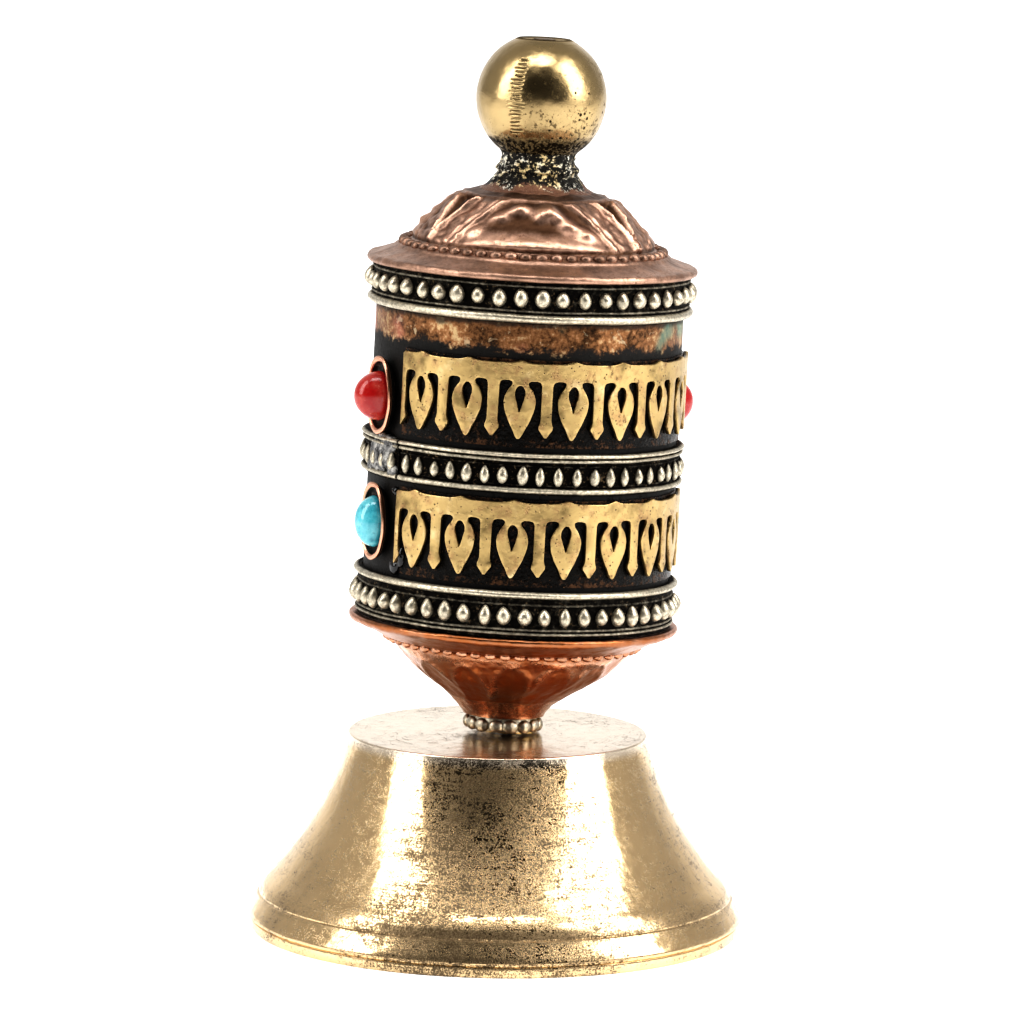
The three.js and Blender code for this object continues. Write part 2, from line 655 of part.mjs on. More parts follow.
add(onSpindle, "upper_lid", upperLidGeometry(), copper);
add(onSpindle, "upper_bush", upperBushGeometry(), brass);
add(onSpindle, "finial_collar", collarGeometry(), castBrass);
add(onSpindle, "finial_stud", studGeometry(), steel);
add(onSpindle, "finial_ball", ballGeometry(), brass);

export default root;
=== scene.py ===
"""A table-top prayer wheel: a jewelled copper drum that turns on a spindle in a flared brass stand.

Sizes in this file are millimetres unless they are named otherwise, and turn into metres where
a mesh is finished. Levels on the drum count along the spindle from the stand's top face, and
angles round it count from the front towards +X.
"""

import json
import math
from types import SimpleNamespace

import bmesh
import bpy
from bpy.props import FloatProperty, FloatVectorProperty, IntProperty, PointerProperty
from mathutils import Matrix, Vector, noise


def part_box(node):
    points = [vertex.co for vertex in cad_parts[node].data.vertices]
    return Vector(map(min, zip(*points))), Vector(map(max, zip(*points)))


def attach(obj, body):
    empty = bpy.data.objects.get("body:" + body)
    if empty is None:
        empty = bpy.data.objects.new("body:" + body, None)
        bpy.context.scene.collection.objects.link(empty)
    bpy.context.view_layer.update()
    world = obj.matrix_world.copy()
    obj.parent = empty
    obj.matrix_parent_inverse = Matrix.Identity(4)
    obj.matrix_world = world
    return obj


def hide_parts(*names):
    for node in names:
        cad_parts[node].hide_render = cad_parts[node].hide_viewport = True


bl_info = {
    "name": "Prayer wheel",
    "version": (1, 0, 0),
    "blender": (4, 5, 0),
    "location": "3D View > Sidebar > Prayer wheel",
    "description": "Builds a table-top prayer wheel and its studio",
    "category": "Object",
}

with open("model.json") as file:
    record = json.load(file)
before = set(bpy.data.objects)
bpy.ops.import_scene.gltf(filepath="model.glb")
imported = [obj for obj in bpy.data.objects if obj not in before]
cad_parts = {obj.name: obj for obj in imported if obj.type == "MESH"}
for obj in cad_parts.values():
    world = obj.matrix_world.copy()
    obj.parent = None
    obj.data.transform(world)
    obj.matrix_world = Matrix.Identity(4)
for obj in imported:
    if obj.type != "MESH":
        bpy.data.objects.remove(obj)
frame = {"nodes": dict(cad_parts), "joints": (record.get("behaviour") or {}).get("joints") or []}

MM = 0.001
STAND_FACE = 15.65  # radius of the flat on top of the stand, in millimetres like all below
BORE = 1.95  # radius of the hole for the spindle in the stand
NECK_SHIFT = 0.5  # how far the neck sits to the left of the drum's axis
SPIN = next(joint for joint in frame["joints"] if joint["name"] == "drum_spin")
SPINDLE_AXIS = Vector(SPIN["axis"]).normalized()
SPINDLE_TURN = Vector((0, 0, 1)).rotation_difference(SPINDLE_AXIS)
ON_SPINDLE = Matrix.Translation(Vector(SPIN["pos_m"])) @ SPINDLE_TURN.to_matrix().to_4x4()


def reach(node):
    """How far a CAD piece on the spindle reaches: its levels, radii and angles."""
    back = ON_SPINDLE.inverted()
    points = [back @ vertex.co / MM for vertex in frame["nodes"][node].data.vertices]
    middle = sum(points, Vector()) / len(points)
    facing = math.atan2(middle.x, -middle.y)
    turns = [(math.atan2(p.x, -p.y) - facing + math.pi) % math.tau - math.pi for p in points]
    radii = [math.hypot(p.x, p.y) for p in points]
    return SimpleNamespace(
        low=min(p.z for p in points),
        high=max(p.z for p in points),
        inner=min(radii),
        outer=max(radii),
        start=facing + min(turns),
        end=facing + max(turns),
        facing=facing,
    )


# ---------------------------------------------------------------- sizes and colours


def length(name, description, default):
    """A length that a user may set, in millimetres."""
    return FloatProperty(name=name, description=description, default=default, min=0.0, subtype="DISTANCE")


def colour(name, description, default):
    """A colour that a user may set."""
    return FloatVectorProperty(
        name=name, description=description, default=default, min=0.0, max=1.0, size=3, subtype="COLOR"
    )


class WheelSizes(bpy.types.PropertyGroup):
    """Sizes of the parts that the frame leaves plain."""

    edge_round: length("Stand edge", "Rounding of the stand's top edge", 0.20)
    wire_lift: length("Wire lift", "How far a band's wires stand out from its flat", 0.5)
    petal_rise: length("Petal rise", "Height of the raised petals on the lids", 0.75)
    frieze_edge: length("Frieze edge", "Rounding of the frieze's cut edges", 0.07)
    cord_beads: IntProperty(name="Cord beads", description="Small beads round each lid", default=54, min=12)
    lower_beads: IntProperty(name="Lower beads", description="Beads round the lower band", default=50, min=12)
    middle_beads: IntProperty(
        name="Middle beads", description="Beads round the middle band", default=54, min=12
    )
    upper_beads: IntProperty(name="Upper beads", description="Beads round the upper band", default=47, min=12)
    neck_beads: IntProperty(name="Neck beads", description="Beads round the neck ring", default=15, min=6)


class WheelColours(bpy.types.PropertyGroup):
    """Colours of the finishes."""

    stand_brass: colour("Stand brass", "Polished brass of the stand", (0.82, 0.605, 0.35))
    ball_brass: colour("Ball brass", "Brass of the finial's ball", (0.45, 0.335, 0.175))
    frieze_brass: colour("Frieze brass", "Brass sheet of the friezes", (0.50, 0.36, 0.165))
    tarnish: colour("Tarnish", "Brown film on the brass", (0.060, 0.040, 0.020))
    lid_copper: colour("Lid copper", "Polished copper of the lids", (0.72, 0.40, 0.27))
    old_copper: colour("Old copper", "Brown skin of the drum", (0.24, 0.12, 0.055))
    white_metal: colour("White metal", "Worn tops of the beads and wires", (0.66, 0.59, 0.46))
    hollow_black: colour("Hollow black", "Black in the hollows", (0.004, 0.003, 0.002))
    coral: colour("Coral", "Upper stones", (0.34, 0.012, 0.012))
    turquoise: colour("Turquoise", "Lower stones", (0.070, 0.39, 0.46))


def colours():
    return bpy.context.scene.wheel_colours


# ---------------------------------------------------------------- node trees


class Amount:
    """A number in a node tree. Sums on it add Math nodes."""

    def __init__(self, nodes, socket):
        self.nodes = nodes
        self.socket = socket

    def sum(self, operation, *terms):
        made = self.nodes.node("ShaderNodeMath", {"operation": operation}, dict(enumerate(terms)))
        return Amount(self.nodes, made.outputs[0])

    def __add__(self, other):
        return self.sum("ADD", self, other)

    def __sub__(self, other):
        return self.sum("SUBTRACT", self, other)

    def __rsub__(self, other):
        return self.sum("SUBTRACT", other, self)

    def __mul__(self, other):
        return self.sum("MULTIPLY", self, other)

    def __truediv__(self, other):
        return self.sum("DIVIDE", self, other)

    def __pow__(self, other):
        return self.sum("POWER", self, other)

    __radd__ = __add__
    __rmul__ = __mul__

    def most(self, other):
        return self.sum("MAXIMUM", self, other)

    def least(self, other):
        return self.sum("MINIMUM", self, other)


class Nodes:
    """A node tree under construction."""

    def __init__(self, tree):
        self.tree = tree

    def node(self, kind, settings=None, sockets=None):
        """Adds a node: its settings first, then the values or links of its sockets."""
        made = self.tree.nodes.new(kind)
        for key, value in (settings or {}).items():
            setattr(made, key, value)
        for key, value in (sockets or {}).items():
            socket = made.inputs[key] if isinstance(key, int) else self.named(made.inputs, key)
            if isinstance(value, Amount):
                value = value.socket
            if isinstance(value, bpy.types.NodeSocket):
                self.tree.links.new(value, socket)
            else:
                socket.default_value = value
        return made

    @staticmethod
    def named(sockets, name):
        return next(socket for socket in sockets if socket.name == name and socket.enabled)

    def amount(self, made, name):
        return Amount(self, self.named(made.outputs, name))

    def parts(self, vector):
        """The three numbers of a vector."""
        made = self.node("ShaderNodeSeparateXYZ", {}, {0: vector})
        return [Amount(self, socket) for socket in made.outputs]

    def vector(self, x, y, z):
        return self.node("ShaderNodeCombineXYZ", {}, {0: x, 1: y, 2: z}).outputs[0]


class Finish(Nodes):
    """A material under construction, with places on the piece in millimetres."""

    def __init__(self, name, on_spindle=True):
        self.material = bpy.data.materials.new(name)
        self.material.use_nodes = True
        super().__init__(self.material.node_tree)
        self.tree.nodes.clear()
        place = self.node("ShaderNodeTexCoord").outputs["Object"]
        spindle = ON_SPINDLE if on_spindle else Matrix.Identity(4)
        mapping = {
            "Vector": place,
            "Location": spindle.to_translation(),
            "Rotation": spindle.to_euler(),
            "Scale": (MM, MM, MM),
        }
        self.place = self.node("ShaderNodeMapping", {"vector_type": "TEXTURE"}, mapping).outputs[0]
        self.x, self.y, self.level = self.parts(self.place)
        self.radius = (self.x * self.x + self.y * self.y) ** 0.5
        self.angle = self.x.sum("ARCTAN2", self.x, 0 - self.y)
        self.normal = None

    def noise(self, scale, detail=4.0, rough=0.5, seed=0.0, place=None, distortion=0.0):
        """Cloudy noise from 0 to 1. scale is the number of clouds per millimetre."""
        values = {
            "Vector": place or self.place,
            "W": seed,
            "Scale": scale,
            "Detail": detail,
            "Roughness": rough,
            "Distortion": distortion,
        }
        return Amount(self, self.node("ShaderNodeTexNoise", {"noise_dimensions": "4D"}, values).outputs[0])

    def cells(self, scale, seed=0.0):
        """Distance to the nearest of many scattered points, in cells."""
        values = {"Vector": self.place, "W": seed, "Scale": scale}
        made = self.node("ShaderNodeTexVoronoi", {"voronoi_dimensions": "4D", "feature": "F1"}, values)
        return self.amount(made, "Distance")

    def smooth(self, amount, low, high):
        """0 below low, 1 above high and a smooth step between. low may be above high."""
        values = {0: amount, 1: low, 2: high, 3: 0.0, 4: 1.0}
        if low > high:
            values = {0: amount, 1: high, 2: low, 3: 1.0, 4: 0.0}
        made = self.node("ShaderNodeMapRange", {"interpolation_type": "SMOOTHSTEP"}, values)
        return Amount(self, made.outputs[0])

    def relief(self, name="relief"):
        """How far the surface stands out, as measured when its mesh was made."""
        made = self.node("ShaderNodeAttribute", {"attribute_name": name})
        return self.amount(made, "Fac")

    def tint(self, factor, first, second):
        """One colour over another."""
        pair = [c if isinstance(c, bpy.types.NodeSocket) else (*c, 1.0) for c in (first, second)]
        settings = {"data_type": "RGBA", "blend_type": "MIX"}
        made = self.node("ShaderNodeMix", settings, {"Factor": factor, "A": pair[0], "B": pair[1]})
        return self.named(made.outputs, "Result")

    def ramp(self, amount, stops):
        """A colour that changes with an amount, by (amount, colour) stops."""
        made = self.node("ShaderNodeValToRGB", {}, {0: amount})
        elements = made.color_ramp.elements
        while len(elements) < len(stops):
            elements.new(0.5)
        for element, (position, tone) in zip(elements, stops):
            element.position = position
            element.color = (*tone, 1.0)
        return made.outputs[0]

    def bump(self, height, depth, strength=1.0):
        """Raises the surface by a height from 0 to 1 times a depth in millimetres."""
        values = {"Height": height, "Distance": depth * MM, "Strength": strength}
        if self.normal:
            values["Normal"] = self.normal
        self.normal = self.node("ShaderNodeBump", {}, values).outputs[0]

    def done(self, **sockets):
        """Closes the material with one principled shader. Names use _ for a space."""
        values = {key.replace("_", " "): value for key, value in sockets.items()}
        values = {key: (*v, 1.0) if isinstance(v, tuple) and len(v) == 3 else v for key, v in values.items()}
        if self.normal:
            values["Normal"] = self.normal
        shader = self.node("ShaderNodeBsdfPrincipled", {}, values)
        self.node("ShaderNodeOutputMaterial", {}, {"Surface": shader.outputs[0]})
        return self.material


def rgb(tone):
    return tuple(tone)[:3]


def dimmed(tone, share):
    return tuple(part * share for part in tone)


# ---------------------------------------------------------------- finishes


def polished_brass():
    """Turned brass: lathe lines, and brown specks that crowd together in clouds and thickest at the front,
    there partly as painted shade; its top face is painted paler as a painted reflection.
    """
    c = colours()
    f = Finish("polished_brass", on_spindle=False)
    cloud = f.noise(0.13, 4, 0.6, 2.0)
    middling = f.noise(0.85, 4, 0.6, 6.0)
    fine = f.noise(5.0, 5, 0.8, 5.0)
    lines = f.noise(1.0, 3, 0.6, 4.0, place=f.vector(f.radius * 2.6, 0.0, f.level * 2.6))
    streaks = f.noise(1.0, 4, 0.7, 3.0, place=f.vector(f.angle * 3.0, f.radius * 3.2, f.level * 3.2))
    # Specks crowd thickest at the front. They are real tarnish specks, crowded there as painted shade that
    # stands in for the dark reflection across the front of the stand.
    front_tarnish_and_shade = f.smooth((f.angle + 0.04) * (f.angle + 0.04), 0.50, 0.02)
    flank = f.smooth(f.level, 20.7, 19.6)
    crowd = front_tarnish_and_shade * flank * 0.085 + (cloud - 0.5) * 0.26 + (middling - 0.5) * 0.30 + (streaks - 0.5) * 0.22
    specks = f.smooth(fine + crowd, 0.550, 0.625)
    dots = f.smooth(f.cells(0.75, seed=3.0) - crowd * 0.5, 0.075, 0.045)
    stains = f.smooth(crowd + (fine - 0.5) * 0.3, 0.0, 0.16) * flank * 0.34
    scribe = f.smooth(f.level, 5.4, 4.4) * f.smooth(f.level, 3.0, 3.8) * f.smooth(fine + crowd, 0.44, 0.60)
    film = (specks * 0.90).most(dots).most(stains).most(scribe * 0.75)
    warm = f.tint(f.smooth(cloud, 0.3, 0.7), rgb(c.stand_brass), dimmed(c.stand_brass, 0.84))
    # The top face above the flank is painted paler: a painted reflection of the bright surroundings, seen at
    # a grazing angle.
    warm = f.tint((1.0 - flank) * 0.75, warm, (0.80, 0.71, 0.60))
    base = f.tint(film, warm, rgb(c.tarnish))
    f.bump(lines, 0.006)
    f.bump(f.noise(0.22, 3, 0.5, 8.0), 0.12)
    f.bump(middling, 0.02)
    f.bump(1.0 - specks, 0.004)
    rough = 0.07 + film * 0.30 + middling * 0.14 + (1.0 - flank) * 0.08
    return f.done(Base_Color=base, Roughness=rough, Metallic=1.0 - film * 0.35)


def ball_brass():
    """Cast brass ball, polished, with pits on one side and jaw nicks on the other."""
    c = colours()
    f = Finish("ball_brass")
    ball = reach("finial_ball")
    smear = f.noise(0.28, 4, 0.6, 6.0)
    grains = f.noise(2.6, 4, 0.65, 4.0)
    low_side = (f.x * 0.05 + (ball.low + 4.5 - f.level) * 0.075).least(0.34)
    pits = f.smooth(f.cells(1.7, seed=1.0) - f.noise(0.7, 2, 0.5, 3.0) * 0.34 - low_side * 0.42, 0.03, -0.05)
    freckles = f.smooth(grains + low_side * 0.24 + (smear - 0.5) * 0.4, 0.57, 0.68)
    foot = f.smooth(f.level + (grains - 0.5) * 2.4 + (smear - 0.5) * 1.6, ball.low + 1.7, ball.low + 1.0)
    crust = foot * f.smooth(grains + (ball.low + 0.9 - f.level) * 0.04, 0.60, 0.50)
    cap = f.smooth(f.level, ball.high - 0.22, ball.high - 0.05)
    nick = f.relief("nicks")
    film = (pits * 0.95).most(freckles * 0.6).most(crust).most(cap * (0.70 + smear * 0.4)).most(nick)
    worn = f.tint(f.smooth(smear, 0.35, 0.65), rgb(c.ball_brass), dimmed(c.ball_brass, 0.8))
    base = f.tint(film, worn, dimmed(c.tarnish, 0.30))
    f.bump(1.0 - pits, 0.07)
    f.bump(1.0 - crust, 0.12)
    f.bump(f.noise(0.5, 4, 0.55, 2.0), 0.06)
    rough = 0.20 + smear * 0.12 + film * 0.35
    return f.done(
        Base_Color=base, Roughness=rough + cap * 0.3, Metallic=1.0 - (film * 0.4).most(cap * 0.9),
        Specular_IOR_Level=0.1
    )


def frieze_brass():
    """Rubbed sheet brass with brown specks in its pores, and cut edges painted dark: tarnish, with painted
    shade along the outline.
    """
    c = colours()
    f = Finish("frieze_brass")
    smear = f.noise(0.35, 4, 0.6, 7.0)
    blotch = f.noise(0.75, 5, 0.62, 9.0)
    pores = f.smooth(f.cells(2.6, seed=5.0) - f.noise(0.8, 3, 0.6, 1.0) * 0.46, 0.03, -0.07)
    grains = f.smooth(f.noise(2.4, 5, 0.7, 12.0) + (blotch - 0.5) * 0.5, 0.56, 0.72)
    # The sawn sides and the back are painted dark: tarnish on the unpolished cut edges, and painted shade
    # along the frieze's outline.
    side = f.smooth(f.relief("edge"), 0.25, 0.8)
    film = (pores * 0.85).most(grains * 0.65).most(side * 0.92)
    worn = f.ramp(
        smear,
        [(0.32, dimmed(c.frieze_brass, 0.42)), (0.48, rgb(c.frieze_brass)), (0.58, rgb(c.frieze_brass)),
            (0.72, (0.68, 0.53, 0.29))],
    )
    rosy = f.tint(f.smooth(blotch, 0.50, 0.64) * 0.45, worn, (0.34, 0.19, 0.10))
    base = f.tint(film, rosy, dimmed(c.tarnish, 0.8))
    f.bump(f.noise(0.6, 4, 0.6, 3.0), 0.07)
    f.bump(1.0 - pores, 0.04)
    f.bump(grains, -0.03)
    return f.done(Base_Color=base, Roughness=0.26 + grains * 0.25 + blotch * 0.16, Metallic=1.0 - film * 0.35)


def lid_copper(name, tone, hollow, dull):
    """Chased copper sheet: dark brown in its hollows, rubbed bright on its heights, and near black in the
    deepest hollows as patina with painted shade.
    """
    f = Finish(name)
    relief = f.relief()
    grit = f.noise(2.6, 5, 0.72, 8.0)
    cloud = f.noise(0.32, 4, 0.6, 3.0)
    blotch = f.noise(0.9, 4, 0.6, 5.0)
    high = f.smooth(relief + (grit - 0.5) * 0.5 + (cloud - 0.5) * 0.7 + (blotch - 0.5) * 0.4, -0.10, 0.62)
    freckle = f.smooth(grit + (cloud - 0.5) * 0.3, 0.53, 0.68)
    # The deepest hollows go near black: dark patina, and painted shade in the hollows.
    pit_patina_and_shade = f.smooth(relief + (grit - 0.5) * 0.6, -0.20, -0.62)
    base = f.ramp(high, [(0.0, hollow), (0.45, dimmed(tone, 0.58)), (0.80, tone), (1.0, dimmed(tone, 1.25))])
    base = f.tint(freckle * 0.65, base, hollow)
    base = f.tint(pit_patina_and_shade * 0.85, base, (0.03, 0.017, 0.010))
    f.bump(f.noise(0.7, 4, 0.6, 2.0), 0.10)
    f.bump(grit, 0.03)
    rough = dull - high * 0.14 + freckle * 0.18
    return f.done(Base_Color=base, Roughness=rough, Metallic=1.0 - pit_patina_and_shade * 0.6)


def white_metal(name="white_metal", foot=16.45, top=16.9):
    """White metal, worn bright where it stands out and black in its hollows."""
    c = colours()
    f = Finish(name)
    grit = f.noise(1.8, 5, 0.7, 5.0)
    coarse = f.noise(0.9, 3, 0.6, 2.0)
    proud = f.smooth(f.radius + (grit - 0.5) * 0.42 + (coarse - 0.5) * 0.25, foot, top)
    rub = f.smooth(f.noise(3.2, 4, 0.7, 9.0), 0.40, 0.62)
    worn = f.tint(rub, dimmed(c.white_metal, 0.55), rgb(c.white_metal))
    specks = f.smooth(f.noise(3.6, 3, 0.6, 7.0) + (coarse - 0.5) * 0.4, 0.58, 0.70) * 0.45
    hollow = f.tint(specks, rgb(c.hollow_black), (0.24, 0.17, 0.10))
    base = f.tint(proud, hollow, worn)
    f.bump(grit, 0.07)
    f.bump(coarse, 0.06)
    rough = 0.60 - proud * 0.26 + (1.0 - rub) * 0.1
    return f.done(Base_Color=base, Roughness=rough, Metallic=0.1 + proud * 0.9, Specular_IOR_Level=0.06)


def mottled_copper():
    """The drum's bare copper: brown and orange mottling, black paint and painted shade at the rows, faint
    heat colours.
    """
    c = colours()
    f = Finish("mottled_copper")
    patch = f.noise(0.30, 5, 0.64, 2.0, distortion=0.5)
    grit = f.noise(2.0, 5, 0.72, 4.0)
    skin = f.ramp(
        patch + (grit - 0.5) * 0.75,
        [
            (0.30, (0.010, 0.007, 0.005)),
            (0.42, dimmed(c.old_copper, 0.30)),
            (0.51, dimmed(c.old_copper, 0.8)),
            (0.58, (0.27, 0.13, 0.06)),
            (0.70, (0.50, 0.36, 0.20)),
        ],
    )
    heat = f.noise(0.13, 3, 0.5, 7.0)
    flakes = f.smooth(f.noise(0.55, 3, 0.6, 14.0, distortion=1.0), 0.60, 0.66)
    skin = f.tint(flakes * 0.55, skin, (0.58, 0.46, 0.30))
    skin = f.tint(f.smooth(heat, 0.55, 0.66) * 0.5, skin, (0.16, 0.34, 0.27))
    skin = f.tint(f.smooth(heat, 0.44, 0.34) * 0.4, skin, (0.60, 0.22, 0.18))
    row_top = reach("upper_backing_front").high
    ragged = (grit - 0.5) * 2.4 + (patch - 0.5) * 3.2
    # Black below the upper row's top: black paint on the shell, with painted shade along the ragged edge
    # above the row. It is also darker just under the upper band's foot.
    shade = f.smooth(f.level + ragged, row_top + 1.5, row_top + 0.7)
    band_foot = reach("upper_band").low
    under_band = f.smooth(f.level + (patch - 0.5) * 2.4, band_foot - 0.6, band_foot - 0.1)
    black_paint_and_shade = shade.most(under_band * 0.8)
    base = f.tint(black_paint_and_shade, skin, dimmed(c.hollow_black, 1.3))
    f.bump(grit, 0.06)
    f.bump(f.noise(0.25, 3, 0.5, 3.0), 0.2)
    f.bump(flakes, 0.05)
    rough = 0.36 + grit * 0.22 + black_paint_and_shade * 0.15
    return f.done(Base_Color=base, Roughness=rough, Metallic=0.9 - black_paint_and_shade * 0.75, Specular_IOR_Level=0.3)


def black_pitch():
    """Black pitch rubbed through to brown copper here and there, most of all along its edges."""
    c = colours()
    f = Finish("black_pitch")
    lumps = f.noise(1.3, 5, 0.65, 3.0)
    fine = f.noise(3.0, 4, 0.7, 1.0)
    patch = f.noise(0.30, 4, 0.6, 6.0)
    along_edge = f.relief("edge")
    rubbed = f.smooth(lumps * 0.4 + fine * 0.6 + along_edge * 0.09 + (patch - 0.5) * 0.40, 0.54, 0.70)
    base = f.tint(rubbed * 0.8, rgb(c.hollow_black), (0.11, 0.056, 0.030))
    flecks = f.smooth(fine + along_edge * 0.05, 0.66, 0.76)
    base = f.tint(flecks * 0.5, base, (0.30, 0.20, 0.12))
    f.bump(lumps, 0.20)
    f.bump(fine, 0.03)
    rough = 0.20 + rubbed * 0.3
    return f.done(Base_Color=base, Roughness=rough, Metallic=rubbed * 0.6, Specular_IOR_Level=0.12)


def glossy_pitch():
    """Drops of black pitch, smooth as glass."""
    f = Finish("glossy_pitch")
    dust = f.smooth(f.noise(1.5, 4, 0.6, 3.0), 0.60, 0.80)
    base = f.tint(dust, (0.006, 0.005, 0.005), (0.05, 0.04, 0.03))
    f.bump(f.noise(0.9, 2, 0.5, 1.0), 0.2)
    return f.done(Base_Color=base, Roughness=0.10 + dust * 0.4)


def rough_casting():
    """The collar's dark grainy casting: its grains worn to bright metal, its foot washed with copper."""
    c = colours()
    f = Finish("rough_casting")
    collar = reach("finial_collar")
    grains = f.noise(3.4, 4, 0.7, 6.0)
    bright = f.smooth(grains + f.relief() * 0.16, 0.550, 0.61)
    silvery = f.noise(0.5, 2, 0.5, 2.0)
    metal = f.tint(f.smooth(silvery, 0.42, 0.58), (0.78, 0.62, 0.34), (0.86, 0.82, 0.70))
    base = f.tint(bright, (0.010, 0.008, 0.005), metal)
    washed = f.smooth(
        f.level + (grains - 0.5) * 2.0 + (silvery - 0.5) * 2.6, collar.low + 0.55, collar.low + 0.25
    )
    base = f.tint(washed, base, dimmed(c.lid_copper, 0.32))
    f.bump(grains, 0.22)
    rough = 0.48 - bright * 0.20
    return f.done(
        Base_Color=base, Roughness=rough, Metallic=(0.2 + bright * 0.8).most(washed), Specular_IOR_Level=0.3
    )


def coral():
    """Polished red coral with paler cloudy patches and a few worm pits."""
    c = colours()
    f = Finish("coral")
    cloud = f.noise(0.55, 4, 0.6, 4.0)
    vein = f.noise(1.6, 5, 0.65, 2.0, distortion=1.2)
    base = f.tint(f.smooth(cloud, 0.42, 0.68) * 0.75, rgb(c.coral), (0.46, 0.075, 0.055))
    base = f.tint(f.smooth(vein, 0.60, 0.72) * 0.35, base, (0.62, 0.22, 0.16))
    pits = f.smooth(f.cells(0.8, seed=7.0), 0.16, 0.08)
    base = f.tint(pits * 0.7, base, (0.12, 0.01, 0.01))
    f.bump(1.0 - pits, 0.05)
    f.bump(vein, 0.015)
    return f.done(
        Base_Color=base, Roughness=0.16 + f.smooth(vein, 0.5, 0.8) * 0.2, Coat_Weight=0.25,
        Coat_Roughness=0.05,
        Specular_IOR_Level=0.35,
    )


def turquoise():
    """Polished turquoise, sky blue with pale and deep patches."""
    c = colours()
    f = Finish("turquoise")
    cloud = f.noise(0.5, 5, 0.6, 8.0, distortion=0.6)
    base = f.ramp(
        cloud,
        [(0.34, (0.015, 0.17, 0.25)), (0.47, rgb(c.turquoise)), (0.58, (0.14, 0.50, 0.56)),
            (0.70, (0.34, 0.66, 0.68))],
    )
    freckle = f.smooth(f.noise(2.6, 4, 0.7, 3.0), 0.56, 0.68)
    base = f.tint(freckle * 0.6, base, (0.02, 0.13, 0.18))
    f.bump(cloud, 0.02)
    return f.done(Base_Color=base, Roughness=0.14 + freckle * 0.2, Coat_Weight=0.35, Coat_Roughness=0.05)


def collet_copper():
    """Copper cup: polished rim, dark and grainy inside."""
    c = colours()
    f = Finish("collet_copper")
    grit = f.noise(2.4, 5, 0.7, 5.0)
    rim = f.smooth(f.relief() + (grit - 0.5) * 0.4, 0.45, 0.85)
    dark = f.tint(f.smooth(grit, 0.52, 0.70), (0.018, 0.014, 0.011), (0.16, 0.13, 0.11))
    base = f.tint(rim, dark, rgb(c.lid_copper))
    f.bump(grit, 0.06)
    return f.done(Base_Color=base, Roughness=0.48 - rim * 0.2, Metallic=0.55 + rim * 0.45)


def solder():
    """Grey solder, dull and pitted."""
    f = Finish("solder")
    grit = f.noise(1.3, 6, 0.72, 3.0)
    base = f.ramp(
        grit, [(0.40, (0.014, 0.012, 0.011)), (0.50, (0.17, 0.165, 0.16)), (0.62, (0.52, 0.50, 0.46))]
    )
    f.bump(grit, 0.25)
    return f.done(Base_Color=base, Roughness=0.30 + grit * 0.2, Metallic=0.8)


def plain_metal(name, tone, rough):
    """Turned metal that mostly lies out of sight: fine turning lines and a little dirt."""
    f = Finish(name)
    lines = f.noise(1.0, 3, 0.6, 2.0, place=f.vector(f.radius * 4.0, 0.0, f.level * 4.0))
    dirt = f.smooth(f.noise(0.8, 5, 0.65, 4.0), 0.52, 0.72)
    base = f.tint(dirt * 0.6, tone, dimmed(tone, 0.25))
    f.bump(lines, 0.02)
    return f.done(Base_Color=base, Roughness=rough + dirt * 0.25, Metallic=1.0)


def rolled_paper():
    """Cream paper, rolled tight: faint fibres and the edges of its turns."""
    f = Finish("rolled_paper")
    fibre = f.noise(1.2, 5, 0.7, 3.0)
    turns = f.noise(1.0, 2, 0.5, 1.0, place=f.vector(f.radius * 5.0, 0.0, 0.0))
    base = f.tint(fibre * 0.5 + turns * 0.3, (0.80, 0.71, 0.50), (0.58, 0.47, 0.28))
    f.bump(fibre, 0.03)
    return f.done(Base_Color=base, Roughness=0.82 + fibre * 0.1)


# ---------------------------------------------------------------- meshes


def smooth_line(points, steps=6):
    """A smooth line through [radius, level] points, ends included."""
    ends = [points[0], *points, points[-1]]
    line = []
    for before, start, end, after in zip(ends, ends[1:], ends[2:], ends[3:]):
        for i in range(steps):
            t = i / steps
            line.append(
                [
                    0.5
                    * (
                        2 * start[k]
                        + (end[k] - before[k]) * t
                        + (2 * before[k] - 5 * start[k] + 4 * end[k] - after[k]) * t * t
                        + (3 * start[k] - before[k] - 3 * end[k] + after[k]) * t * t * t
                    )
                    for k in (0, 1)
                ]
            )
    line.append(list(points[-1]))
    return line


def half_round(middle, width, proud, flat, steps=8):
    """The outline of a half-round wire that stands out of a flat, from its low edge up."""
    return [
        [flat + proud * math.sin(math.pi * i / steps), middle - width / 2 * math.cos(math.pi * i / steps)]
        for i in range(steps + 1)
    ]


def wobble(x, y, z, scale, seed=0.0):
    """Smooth noise from about -1 to 1."""
    return noise.noise(Vector((x * scale + seed, y * scale - seed, z * scale + seed * 0.5)))


